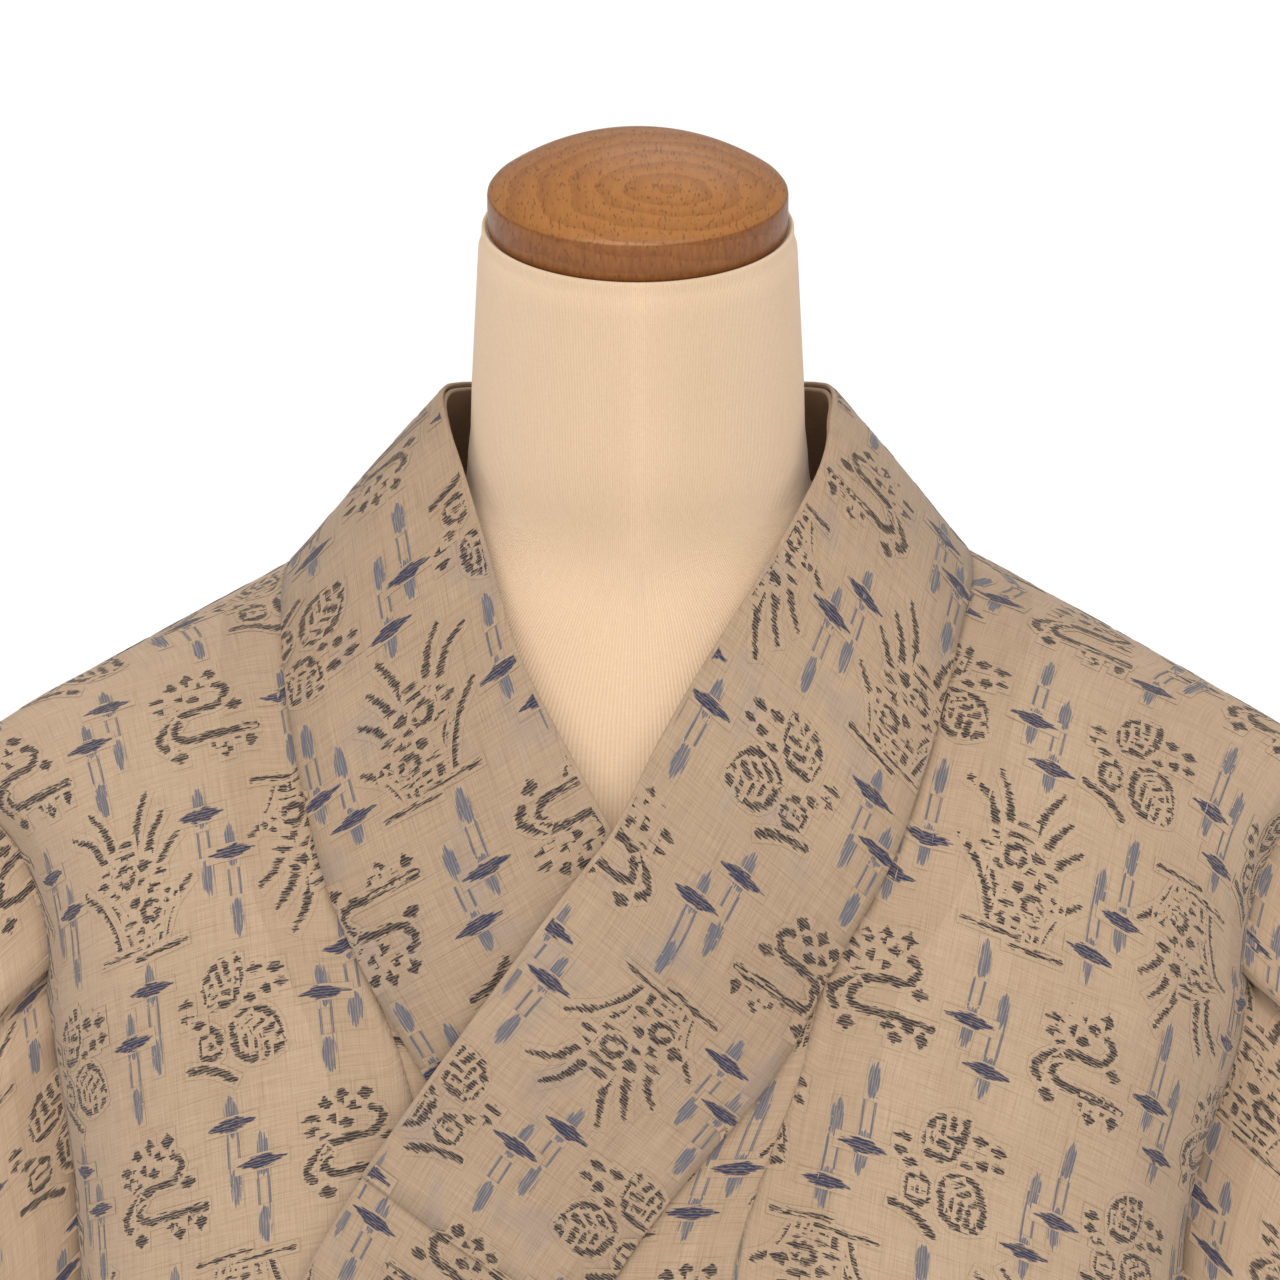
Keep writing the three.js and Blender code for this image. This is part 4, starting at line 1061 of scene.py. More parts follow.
@dataclass
class CollarStrip:
    """A folded strip of cloth along the collar: its outer face, rounded fold and inner face."""

    line: CollarLine
    under_end: float
    over_end: float
    raised: float = 0.0
    thick: float = 1.8
    lip: float = 0.0
    columns: int = 12
    row_step: float = 0.5
    row_cell: float = 0.125
    coarse: int = 4
    fold_points: int = 4
    fold_step: float = 0.5
    upward: float = 30.0
    seam_allowance: float = 14.0
    end_allowance: float = 10.0
    crease_fade: float = 9.0
    creases: tuple[Crease, ...] = (
        Crease(8, -118, 66, -96, 5, 0.8), Crease(6, 128, 60, 104, 6, 0.7), Crease(4, -40, 58, -52, 6, 0.6),
        Crease(20, 150, 62, 250, 9, 0.8), Crease(16, -150, 50, -260, 9, 0.7))

    def build(self, name: str, material: bpy.types.Material) -> tuple[bpy.types.Object, Patch]:
        """Makes the strip.

        Args:
            name: the piece's name.
            material: its cloth.

        Returns:
            The piece and the patch of its outer face.
        """
        coarse_rows = np.arange(-self.under_end, self.over_end + 1e-6, self.row_step)
        across = np.linspace(0, 1, self.coarse + 1)
        grid = np.array([[self.line.point(-1 if r < 0 else 1, abs(r), a) for a in across]
                         for r in coarse_rows])
        length = lengths_along(grid[:, self.coarse // 2])
        counts = np.full(len(length) - 1, max(1, round(self.row_step / self.row_cell)))
        t, points = refined(widened(grid, self.columns // self.coarse), length, counts)
        t = t - float(np.interp(0, coarse_rows, length))
        inner = across_lengths(points)
        ends = np.minimum(t - t[0], t[-1] - t)[:, None] / self.end_allowance + 1
        edge = np.stack([inner / self.seam_allowance, np.broadcast_to(ends, inner.shape)], axis=-1)
        outward = away_from_axis(points, self.upward)
        spread = np.repeat(t[:, None], inner.shape[1], axis=1)
        patch = Patch(points, inner, spread, outward, edge)
        patch.crease(self.creases, self.crease_fade)
        half = self.thick / 2
        face = Patch(patch.points + patch.normals * (self.raised + half), inner, spread, outward, edge)
        fold = unit(patch.points[:, -1] - patch.points[:, -2])
        low = patch.points + patch.normals * (self.raised - half)
        turn = np.linspace(QUARTER, -QUARTER, self.fold_points + 2)[1:-1]
        middle = patch.points[:, -1] + patch.normals[:, -1] * self.raised
        arc = [middle + patch.normals[:, -1] * half * math.sin(v) + fold * (half * math.cos(v) + self.lip)
               for v in turn]
        section = np.concatenate([face.points, np.stack(arc, axis=1), low[:, ::-1]], axis=1)
        rows, count = section.shape[:2]
        over = inner[:, -1:] + np.arange(1, self.fold_points + 1) * self.fold_step
        s_round = np.concatenate([inner, over, inner[:, ::-1]], axis=1)
        ends_round = [np.arange(count), np.arange(rows * count - count, rows * count)[::-1]]
        faces = [face[::-1] if patch.flip else face for face in (*tube_quads(rows, count), *ends_round)]
        piece = make_object(name, section.reshape(-1, 3), faces)
        flat = np.stack([s_round, np.broadcast_to(t[:, None], s_round.shape)], axis=-1).reshape(-1, 2) * MM
        marks = np.stack([s_round / self.seam_allowance, np.broadcast_to(ends, s_round.shape)], axis=-1)
        corners = np.concatenate([np.asarray(f) for f in faces])
        write_uv(piece.data, "cloth", flat[corners])
        write_uv(piece.data, "edge", marks.reshape(-1, 2)[corners])
        piece.data.materials.append(material)
        return piece, face


# How the strokes are drawn, in millimetres or as shares
STROKE_STEP = 3.0
BLADE_WIDTH, BLADE_TIP = 2.7, 0.45
BLOT_END = 0.35
RING_POINTS = 10
LEAF_BELLY, LEAF_FULL, LEAF_POINTS = 0.85, 0.8, 7
LEAF_OUTLINE, LEAF_VEIN, VEIN_REACH = 2.2, 1.9, 0.28


class Ink(Enum):
    """The three dyed yarns."""

    CHARCOAL = 0
    NAVY = 1
    PALE = 2


@dataclass(frozen=True)
class Stroke:
    """A woven stroke: its middle line, full width at each point, yarn, and half the strip it is cut to."""

    path: Points
    widths: tuple[float, ...]
    ink: Ink = Ink.CHARCOAL
    strip: float | None = None


def curved(points: Points, width: float) -> Stroke:
    """A stroke on a smooth curve through a few points."""
    line = np.array(points, dtype=float)
    run = lengths_along(line)
    at = np.linspace(0, run[-1], max(2, int(round(run[-1] / STROKE_STEP)) + 1))
    fine = hermite(run, line, at)
    return Stroke(tuple(map(tuple, fine)), (width,) * len(fine))


def blade(x0: float, y0: float, x1: float, y1: float, bow: float) -> Stroke:
    """A blade of grass from its root to its tip, bowed to one side."""
    across = np.array([y1 - y0, x0 - x1]) / math.hypot(x1 - x0, y1 - y0)
    middle = np.array([x0 + x1, y0 + y1]) / 2 + across * bow
    path = curved([(x0, y0), tuple(middle), (x1, y1)], BLADE_WIDTH).path
    return Stroke(path, tuple(np.linspace(BLADE_WIDTH, BLADE_WIDTH * BLADE_TIP, len(path))))


def blot(x: float, y: float, width: float, height: float) -> Stroke:
    """A short mark with pointed ends along the weft."""
    end = height * BLOT_END
    return Stroke(((x - width / 2, y), (x, y), (x + width / 2, y)), (end, height, end))


def ring(x: float, y: float, rx: float, ry: float, width: float = 2.0) -> Stroke:
    """A small round flower eye."""
    turns = np.linspace(0, 2 * math.pi, RING_POINTS)
    return Stroke(tuple((x + rx * math.cos(v), y + ry * math.sin(v)) for v in turns), (width,) * RING_POINTS)


def leaf(x: float, y: float, length: float, width: float, angle: float, veins: int) -> list[Stroke]:
    """A leaf's outline and veins.

    Args:
        x: where its stalk joins it.
        y: where its stalk joins it.
        length: from stalk to tip.
        width: at its widest.
        angle: direction of the tip in degrees.
        veins: how many veins it has.

    Returns:
        Its strokes.
    """
    c, s = math.cos(math.radians(angle)), math.sin(math.radians(angle))

    def place(u: float, v: float) -> tuple[float, float]:
        """A point at a share of the length and a distance from the midrib."""
        return (x + c * u * length - s * v, y + s * u * length + c * v)
    strokes = []
    for way in (1, -1):
        outline = [place(u, way * width / 2 * math.sin(math.pi * u**LEAF_BELLY) ** LEAF_FULL)
                   for u in np.linspace(0, 1, LEAF_POINTS)]
        strokes.append(curved(outline, LEAF_OUTLINE))
    for k in range(veins):
        u = 0.22 + 0.5 * k / max(veins - 1, 1)
        vein = [place(u - 0.06, 0), place(u + 0.08, (-1) ** k * width * VEIN_REACH)]
        strokes.append(curved(vein, LEAF_VEIN))
    return strokes


def reed_clump() -> list[Stroke]:
    """Reeds over small water flowers, with two ground lines."""
    blades = [(-9, 8, -22, 22, 3.0), (-5, 13, -12, 27, 1.4), (4, 11, 12, 28, -0.8), (9, 7, 17, 20, -1),
              (12, 0, 22, 12, -1.4), (-5, -19, -21, 3, 2.6), (-2, -19, -9, -3, 1.0), (12, -19, 25, -3, -2.0),
              (-1, -20, -2, -9, 0), (3, -20, 3, -10, 0), (7, -20, 9, -10, 0), (10, -19, 15, -8, -0.6)]
    blots = [(-7, 6, 7, 3.8), (6, 5, 7, 3.8), (-1, 9, 10, 3.2), (15, -7, 7, 3.8), (3, -6, 6, 3.4),
             (9, -3, 7, 3.2), (-11, 3, 5, 2.2), (1, 13, 6, 2), (-5, -1, 6, 2.4), (13, 1, 5, 2.2),
             (4, 0, 6, 2.2), (1, 5, 3, 2), (-1, -12, 5, 1.8), (4, -15, 5, 1.8), (9, -15, 5, 1.8),
             (-2, 1.5, 5, 1.8), (11, -12, 5, 2.2)]
    return ([blade(*row) for row in blades] + [blot(*row) for row in blots]
            + [ring(-1, 3, 3.4, 3), ring(8, -10, 3.2, 2.8),
               curved([(-15, -21), (6, -20.5)], 1.0), curved([(1, -23.5), (21, -22)], 1.2)])


def leaf_pair() -> list[Stroke]:
    """Two broad leaves with a ring flower and scattered petals."""
    blots = [(-18, 6, 5, 3), (-18, 2, 4, 3), (-14, -1, 5, 2.5), (9, 13, 5, 3), (16, 12, 5, 3),
             (12, 6, 5, 3), (6, 4, 4, 2.5), (17, 7, 4, 2.5)]
    return (leaf(-9, 4, 18, 12, 48, 5) + leaf(-1, -3, 19, 16, -32, 6)
            + [ring(-10, -8, 3.6, 4.6, 2.2), blot(-10, -8, 4, 1.6),
               curved([(-19, -14), (-10, -16), (-2, -21)], 2.0)]
            + [blot(*row) for row in blots])


def blossom_branch() -> list[Stroke]:
    """A winding branch under a loose head of petals."""
    petals = [(-8, 14, 3.4, 5), (-2, 16, 3.4, 5), (-13, 10, 6, 3), (-12, 6, 6, 3), (-5, 9, 4, 3.4),
              (2, 12, 4, 3.4), (-8, 3, 5, 3), (-1, 7, 4, 3.6), (6, 16, 4, 4.5), (13, 1, 5, 3.4),
              (-9, -14, 5, 4), (5, -12, 4, 3.6), (12, -11, 4, 2.8), (8, -15, 4, 4), (17, -13, 3.4, 5)]
    return ([blot(*row) for row in petals]
            + [curved([(7, 11), (11, 9), (9, 4), (-3, 2), (-11, -1), (-16, -7), (-13, -10)], 2.3),
               curved([(-7, -1), (-10, -5), (-7, -8), (2, -8.5), (20, -8.5)], 2.2)])


def cross_pair(way: int) -> list[Stroke]:
    """Two ikat crosses side by side, the lower one towards way.

    Args:
        way: 1 where the lower one lies to the right, -1 to the left.

    Returns:
        Each one's two thin lines, its pale blocks and its dark spindle.
    """
    strokes = []
    for x, y in ((-5 * way, 7), (5 * way, -7)):
        for off in (-1.9, 1.9):
            path = tuple((x + off, y + float(height)) for height in np.linspace(8, -11, 9))
            strokes.append(Stroke(path, (4.8,) * len(path), Ink.PALE, 0.42))
        for heights in ((16.5, 14, 11.5, 9, 6.5, 4), (-18, -15.5, -13.5, -11.5, -9.5, -7.5)):
            path = tuple((x, y + height) for height in heights)
            strokes.append(Stroke(path, (1.6, 3.8, 4.4, 4.4, 4.0, 2.4), Ink.PALE, 2.7))
        spindle = [(x + across, y + 8) for across in (-8.5, -5.5, -2, 2, 5.5, 8.5)]
        strokes.append(Stroke(tuple(spindle), (0.6, 2.2, 4.4, 4.4, 2.2, 0.6), Ink.NAVY, 2.8))
    return strokes


@dataclass
class Template:
    """A motif's strips as points and faces in its own plane."""

    strokes: list[Stroke]
    margin: float = 1.5
    bold: float = 1.25
    end: float = -0.8
    over_each: float = 0.004
    over_all: float = 0.05

    def __post_init__(self) -> None:
        """Lays a strip along each stroke."""
        places, marks, faces, inks, lifts, start = [], [], [], [], [], 0
        for stroke in self.strokes:
            line, widths = np.array(stroke.path, dtype=float), np.array(stroke.widths) / 2
            if stroke.ink is Ink.CHARCOAL:
                widths = widths * self.bold
            head, tail = unit(line[0] - line[1]), unit(line[-1] - line[-2])
            line = np.concatenate([[line[0] + head * self.margin], line, [line[-1] + tail * self.margin]])
            inner = np.concatenate([[self.end], widths, [self.end]])
            along = unit(np.gradient(line, axis=0))
            across = np.stack([-along[:, 1], along[:, 0]], axis=-1)
            reach = stroke.strip or float(widths.max()) + self.margin
            for way in (1, -1):
                places.append(line + across * reach * way)
                marks.append(np.stack([np.full(len(line), reach * way), inner], axis=-1))
            n = len(line)
            k = start + np.arange(n - 1)
            faces += [np.stack([k, k + n, k + n + 1], axis=-1), np.stack([k, k + n + 1, k + 1], axis=-1)]
            inks += [np.full(2 * (n - 1), stroke.ink.value)]
            top = self.over_all if stroke.ink is Ink.NAVY else 0.0
            lifts += [np.full(2 * n, len(lifts) * self.over_each + top)]
            start += 2 * n
        self.places, self.marks = np.concatenate(places), np.concatenate(marks)
        self.faces, self.inks = np.concatenate(faces), np.concatenate(inks)
        self.lifts = np.concatenate(lifts)[:, None]


@dataclass
class Weave:
    """The ikat figures: three motifs in a half-drop repeat, with a pair of crosses between them."""

    pitch: float = 36.0
    period: float = 100.0
    drop: float = 150.0
    raise_by: float = 0.16
    least: float = 0.02

    def __post_init__(self) -> None:
        """Draws the motifs once."""
        reeds, branch, leaves = Template(reed_clump()), Template(blossom_branch()), Template(leaf_pair())
        self.orders = {1: ((reeds, 1), (branch, 1), (leaves, 1), (reeds, -1), (branch, 1), (leaves, 1)),
                       -1: ((reeds, 1), (leaves, 1), (branch, 1), (reeds, -1), (leaves, 1), (branch, 1))}
        self.crosses = {way: Template(cross_pair(way)) for way in (1, -1)}

    def places(self, patch: Patch, start: Start) -> list[tuple[Template, float, float, int]]:
        """Every figure that can touch a patch.

        Args:
            patch: the patch.
            start: cloth coordinates of one reed clump, and which way the bolt runs.

        Returns:
            Motif, place and way up of each figure.
        """
        s0, t0, way = start
        order = self.orders[way]
        found = []
        for k in range(int((float(patch.s.min()) - s0) // self.pitch) - 1,
                       int((float(patch.s.max()) - s0) // self.pitch) + 3):
            s, shift = s0 + k * self.pitch, t0 - way * k * self.drop
            first = int((float(patch.t.min()) - shift) // self.period) - 1
            last = int((float(patch.t.max()) - shift) // self.period) + 2
            for m in range(first, last):
                motif, up = order[m % len(order)]
                found.append((motif, s, shift + m * self.period, up))
                crosses = self.crosses[way if k % 2 else -way]
                found.append((crosses, s, shift + (m + 0.5) * self.period, way))
        return found

    def lay(self, name: str, patches: Sequence[Patch], start: Start, half_wall: float,
            inks: Sequence[bpy.types.Material]) -> bpy.types.Object:
        """Lays the figures on a panel's outer face.

        Args:
            name: the piece's name.
            patches: the panel's patches.
            start: cloth coordinates of one reed clump, and which way the bolt runs.
            half_wall: distance from the patches to the outer face.
            inks: the dyed cloths.

        Returns:
            One piece with all the figures.
        """
        lists: dict[str, list[Array]] = defaultdict(list)
        count = 0
        for patch in patches:
            chart = patch.chart()
            for template, s0, t0, way in self.places(patch, start):
                s = s0 + template.places[:, 0] * way
                t = t0 - template.places[:, 1] * way
                points, normals, edge, inside = chart.at(s, t)
                keep = inside[template.faces].any(axis=1)
                if not keep.any():
                    continue
                lists["points"].append(points + normals * (half_wall + self.raise_by + template.lifts))
                lists["normals"].append(normals)
                lists["cloth"].append(np.stack([s, t], axis=-1) * MM)
                lists["edge"].append(edge)
                lists["stroke"].append(template.marks)
                lists["faces"].append(template.faces[keep] + count)
                lists["inks"].append(template.inks[keep])
                count += len(s)
        data = {key: np.concatenate(value) for key, value in lists.items()}
        corner = data["points"][data["faces"]]
        cross = np.cross(corner[:, 1] - corner[:, 0], corner[:, 2] - corner[:, 0])
        real = np.linalg.norm(cross, axis=1) > self.least
        faces, ink = data["faces"][real], data["inks"][real]
        facing = np.sum(cross[real] * data["normals"][faces[:, 0]], axis=1) < 0
        faces[facing] = faces[facing][:, ::-1]
        used, faces = np.unique(faces, return_inverse=True)
        faces = faces.reshape(-1, 3)
        piece = make_object(name, data["points"][used], faces)
        corners = used[faces.reshape(-1)]
        for key in ("cloth", "edge", "stroke"):
            write_uv(piece.data, key, data[key][corners])
        for material in inks:
            piece.data.materials.append(material)
        piece.data.polygons.foreach_set("material_index", ink.astype(np.int32))
        piece.data.normals_split_custom_set_from_vertices(data["normals"][used].tolist())
        return piece


Socket = bpy.types.NodeSocket


class Nodes:
    """A material's nodes, added one at a time."""

    def __init__(self, name: str) -> None:
        """Starts a material with an empty tree."""
        self.material = bpy.data.materials.new(name)
        self.material.use_nodes = True
        self.tree = self.material.node_tree
        self.tree.nodes.clear()

    def add(self, kind: str, **inputs: object) -> bpy.types.Node:
        """Adds a node and fills its inputs, by name with _ for a space."""
        node = self.tree.nodes.new(f"ShaderNode{kind}")
        for name, value in inputs.items():
            self.fill(node.inputs[name.replace("_", " ")], value)
        return node

    def fill(self, socket: Socket, value: object) -> None:
        """Links a socket, or sets a value."""
        if isinstance(value, bpy.types.NodeSocket):
            self.tree.links.new(value, socket)
        else:
            socket.default_value = value

    def operate(self, kind: str, operation: str, values: Sequence[object]) -> bpy.types.Node:
        """Adds a node that works on its inputs in their order."""
        node = self.add(kind)
        node.operation = operation
        for socket, value in zip(node.inputs, values):
            self.fill(socket, value)
        return node

    def math(self, operation: str, *values: object, clamp: bool = False) -> Socket:
        """Adds a sum of numbers or sockets."""
        node = self.operate("Math", operation, values)
        node.use_clamp = clamp
        return node.outputs[0]

    def vector(self, operation: str, *values: object) -> bpy.types.Node:
        """Adds a sum of vectors."""
        return self.operate("VectorMath", operation, values)

    def uv(self, name: str) -> Socket:
        """Reads a UV map."""
        node = self.add("UVMap")
        node.uv_map = name
        return node.outputs["UV"]

    def part(self, vector: Socket, axis: int) -> Socket:
        """Reads one coordinate of a vector."""
        return self.add("SeparateXYZ", Vector=vector).outputs[axis]

    def noise(self, vector: Socket, scale: tuple[float, float, float], detail: float = 2.0,
              shift: float = 0.0) -> Socket:
        """Adds noise that is stretched by a scale along each axis."""
        place = self.vector("MULTIPLY_ADD", vector, scale, (shift, shift * 0.7, shift * 0.3))
        texture = self.add("TexNoise", Vector=place.outputs[0], Scale=1.0, Detail=detail)
        return texture.outputs[0]

    def ramp(self, value: Socket, low: float, high: float, to_low: float = 0.0,
             to_high: float = 1.0) -> Socket:
        """Maps a range of a value smoothly onto another."""
        node = self.add("MapRange", Value=value, From_Min=low, From_Max=high, To_Min=to_low, To_Max=to_high)
        node.interpolation_type = "SMOOTHSTEP"
        return node.outputs[0]

    def mix(self, share: object, a: object, b: object) -> Socket:
        """Mixes two colours."""
        node = self.add("Mix")
        node.data_type = "RGBA"
        for index, value in ((0, share), (6, a), (7, b)):
            self.fill(node.inputs[index], value)
        return node.outputs[2]

    def finish(self, colour: Socket, roughness: object, height: Socket, depth: float,
               **fixed: object) -> bpy.types.Material:
        """Closes the tree with a surface.

        Args:
            colour: base colour.
            roughness: roughness.
            height: height for the bump.
            depth: depth of the bump in metres.
            **fixed: values set on the shader's own sockets.

        Returns:
            The material.
        """
        bump = self.add("Bump", Height=height, Strength=1.0, Distance=depth)
        surface = self.add("BsdfPrincipled", Base_Color=colour, Roughness=roughness,
                           Normal=bump.outputs[0], **fixed)
        output = self.add("OutputMaterial")
        self.tree.links.new(surface.outputs[0], output.inputs[0])
        return self.material


@dataclass(frozen=True)
class RamieCloth:
    """Fine plain-woven ramie with slubs, darker where it lies double, with painted shade along its seam
    grooves.
    """

    name: str
    light: Colour = (189, 163, 136)
    dark: Colour = (157, 130, 104)
    double: float = 0.86
    smudge: float = 0.0
    stitch: float = 0.0032
    # The colour that double layers darken to, which is also the painted shade along the seam grooves.
    double_and_seam_shade: Colour = (120, 92, 66)
    smudged: Colour = (120, 118, 128)
    roughness: float = 0.88
    relief: float = 0.00005
    sheen: float = 0.12
    shine: float = 0.25

    def ground(self, n: Nodes) -> tuple[Socket, Socket]:
        """Adds the undyed weave.

        Args:
            n: the material's nodes.

        Returns:
            Its colour and its height.
        """
        cloth, edge = n.uv("cloth"), n.uv("edge")
        warp = n.noise(cloth, (2600, 70, 1), 1.0)
        weft = n.noise(cloth, (70, 2600, 1), 1.0, 3.7)
        thick = n.ramp(n.noise(cloth, (2300, 34, 1), 1.0, 9.1), 0.58, 0.70)
        thin = n.ramp(n.noise(cloth, (34, 2300, 1), 1.0, 5.3), 0.58, 0.70)
        cloud = n.noise(cloth, (16, 11, 1), 3.0, 1.9)
        threads = n.math("ADD", warp, weft)
        share = n.math("MULTIPLY_ADD", threads, 0.9, -0.5)
        share = n.math("MULTIPLY_ADD", n.math("ADD", thick, thin), 0.2, share)
        share = n.math("MULTIPLY_ADD", cloud, 0.7, n.math("SUBTRACT", share, 0.35), clamp=True)
        colour = n.mix(share, srgb(*self.light), srgb(*self.dark))
        seam = n.ramp(n.part(edge, 0), 0.98, 1.0, 1.0, 0.0)
        hem = n.ramp(n.part(edge, 1), 0.97, 1.0, 1.0, 0.0)
        layers = n.math("MAXIMUM", seam, hem)
        # A thin dark line along each seam is painted shade of the seam groove, broken up by stitch dots.
        dots = n.math("SINE", n.math("MULTIPLY", n.part(cloth, 1), 2 * math.pi / self.stitch))
        stitch = n.ramp(n.part(edge, 0), 0.0, 0.07, 0.34, 0.0)
        stitch = n.math("MULTIPLY", stitch, n.ramp(dots, -0.2, 0.3, 0.45, 1.0))
        # Double layers darken to the same colour as the cloth's own tone, and the seam line adds its painted
        # shade.
        stitch = n.math("MULTIPLY_ADD", layers, 1 - self.double, stitch, clamp=True)
        colour = n.mix(stitch, colour, srgb(*self.double_and_seam_shade))
        if self.smudge > 0:
            under = n.ramp(n.noise(cloth, (55, 38, 1), 2.0, 7.7), 0.56, 0.66, 0.0, self.smudge)
            colour = n.mix(under, colour, srgb(*self.smudged))
        height = n.math("MULTIPLY_ADD", n.math("ADD", thick, thin), 0.4, threads)
        return colour, height

    def finished(self, n: Nodes, colour: Socket, height: Socket) -> bpy.types.Material:
        """Closes a cloth's nodes with its matt surface."""
        return n.finish(colour, self.roughness, height, self.relief, Sheen_Weight=self.sheen,
                        Specular_IOR_Level=self.shine)

    def build(self) -> bpy.types.Material:
        """Makes the undyed cloth."""
        n = Nodes(self.name)
        return self.finished(n, *self.ground(n))


@dataclass(frozen=True)
class InkedRamie:
    """The same ramie where its yarns are dyed before weaving, so that every edge is feathered."""

    cloth: RamieCloth
    ink: Ink
    colour: Colour
    cover: float
    thin: float
    ragged: float = 4.2
    row: float = 0.0009
    wander: float = 9.0

    def build(self) -> bpy.types.Material:
        """Makes the dyed cloth."""
        n = Nodes(f"{self.cloth.name}_{self.ink.name.lower()}")
        ground, height = self.cloth.ground(n)
        cloth, stroke = n.uv("cloth"), n.uv("stroke")
        along_warp = self.ink is Ink.PALE
        dash = n.noise(cloth, (1500, 75, 1) if along_warp else (260, 1450, 1), 1.5, 2.9)
        room = n.math("SUBTRACT", n.part(stroke, 1), n.math("ABSOLUTE", n.part(stroke, 0)))
        reach = n.math("MULTIPLY_ADD", n.math("SUBTRACT", dash, 0.5), self.ragged, room)
        mask = n.ramp(reach, -0.25, 0.3)
        fleck = n.noise(cloth, (1700, 150, 1) if along_warp else (420, 1300, 1), 1.0, 6.1)
        rows = n.math("MULTIPLY", n.part(cloth, 0 if along_warp else 1), 2 * math.pi / self.row)
        rows = n.math("SINE", n.math("MULTIPLY_ADD", fleck, self.wander, rows))
        body = n.ramp(rows, -1.1, 0.1, self.thin, 1.0)
        share = n.math("MULTIPLY", n.math("MULTIPLY", mask, body), self.cover)
        colour = n.mix(share, ground, srgb(*self.colour))
        return self.cloth.finished(n, colour, height)


@dataclass(frozen=True)
class RibKnit:
    """The form's cover: a fine vertical rib, with painted shade in its troughs."""

    light: Colour = (239, 208, 173)
    dark: Colour = (211, 177, 143)
    pitch: float = 0.0018
    relief: float = 0.00018

    def build(self) -> bpy.types.Material:
        """Makes the knit."""
        n = Nodes("rib_knit")
        place = n.uv("knit")
        wave = n.math("SINE", n.math("MULTIPLY", n.part(place, 0), 2 * math.pi / self.pitch))
        course = n.noise(place, (300, 1500, 1), 1.0, 1.1)
        cloud = n.noise(place, (14, 9, 1), 2.0, 4.4)
        share = n.math("MULTIPLY_ADD", course, 0.4, n.math("MULTIPLY", cloud, 0.35))
        # The rib's wave darkens the colour where it lowers the bump, as painted shade in the troughs.
        share = n.math("MULTIPLY_ADD", wave, 0.2, share)
        colour = n.mix(share, srgb(*self.light), srgb(*self.dark))
        height = n.math("MULTIPLY_ADD", course, 0.5, n.math("MULTIPLY", wave, -0.5))
        return n.finish(colour, 0.85, height, self.relief, Sheen_Weight=0.2, Specular_IOR_Level=0.3)


@dataclass(frozen=True)
class TurnedBeech:
    """Lacquered beech with growth rings round a point beside the middle, short dark pores, and painted shade
    on a wall band.
    """

    name: str
    light: Colour = (171, 113, 59)
    dark: Colour = (136, 84, 38)
    pore: Colour = (96, 54, 26)
    # The colour of the painted shade on the upright wall, and the band of lengths along the skin where that
    # wall lies.
    wall: Colour = (104, 56, 24)
    side: tuple[float, float] = (0.0, 0.0)
    wall_shade_ease: float = 0.0006
    centre: tuple[float, float] = (0.010, 0.011)
    ring: float = 0.0098
    wobble: float = 0.012
    oval: float = 1.15
    relief: float = 0.00004

    def build(self) -> bpy.types.Material:
        """Makes the wood."""
        n = Nodes(self.name)
        place = n.uv("grain")
        shifted = n.vector("ADD", place, (-self.centre[0], -self.centre[1], 0))
        stretched = n.vector("MULTIPLY", shifted.outputs[0], (1.0, self.oval, 1.0))
        far = n.vector("LENGTH", stretched.outputs[0])
        wobble = n.noise(place, (38, 55, 1), 2.0)
        reach = n.math("MULTIPLY_ADD", wobble, self.wobble, far.outputs["Value"])
        rings = n.math("FRACT", n.math("MULTIPLY", reach, 1 / self.ring))
        late = n.ramp(rings, 0.2, 1.0)
        fibre = n.noise(place, (900, 120, 1), 2.0, 2.2)
        pores = n.ramp(n.noise(place, (1700, 330, 1), 0.0, 8.8), 0.66, 0.72)
        share = n.math("MULTIPLY_ADD", late, 0.38, n.math("MULTIPLY", fibre, 0.62), clamp=True)
        colour = n.mix(share, srgb(*self.light), srgb(*self.dark))
        colour = n.mix(n.math("MULTIPLY", pores, 0.55), colour, srgb(*self.pore))
        # Painted shade: the upright wall between the band's two lengths is darkened towards the wall colour,
        # streaked by the fibre.
        along, (low, high) = n.part(n.uv("skin"), 1), self.side
        upright = n.math("MULTIPLY", n.ramp(along, low - self.wall_shade_ease, low),
                         n.ramp(along, high, high + self.wall_shade_ease, 1.0, 0.0))
        darker = n.math("MULTIPLY", upright, n.math("MULTIPLY_ADD", fibre, 0.5, 0.28))
        colour = n.mix(darker, colour, srgb(*self.wall))
        rough = n.math("MULTIPLY_ADD", fibre, 0.1, 0.4)
        height = n.math("MULTIPLY_ADD", pores, -0.6, fibre)
        return n.finish(colour, rough, height, self.relief, Coat_Weight=0.14, Coat_Roughness=0.14,
                        Specular_IOR_Level=0.25)


@dataclass(frozen=True)
class BrushedSteel:
    """Satin steel with fine turning marks round it."""

    light: Colour = (206, 208, 210)
    dark: Colour = (172, 174, 178)
    relief: float = 0.00002

    def build(self) -> bpy.types.Material:
        """Makes the steel."""
        n = Nodes("brushed_steel")
        place = n.uv("grain")
        marks = n.noise(place, (12, 2600, 1), 2.0)
        cloud = n.noise(place, (30, 12, 1), 2.0, 3.1)
        colour = n.mix(cloud, srgb(*self.light), srgb(*self.dark))
        rough = n.math("MULTIPLY_ADD", marks, 0.16, 0.24)
        return n.finish(colour, rough, marks, self.relief, Metallic=1.0)


@dataclass(frozen=True)
class StagePaint:
    """The plain pale floor."""

    light: Colour = (252, 252, 252)
    dark: Colour = (249, 249, 249)
    relief: float = 0.00001

    def build(self) -> bpy.types.Material:
        """Makes the floor's finish."""
        n = Nodes("floor")
        place = n.add("TexCoord").outputs["Object"]
        cloud = n.noise(place, (2, 2, 2), 2.0)
        colour = n.mix(cloud, srgb(*self.light), srgb(*self.dark))
        return n.finish(colour, 0.9, cloud, self.relief, Specular_IOR_Level=0.1)


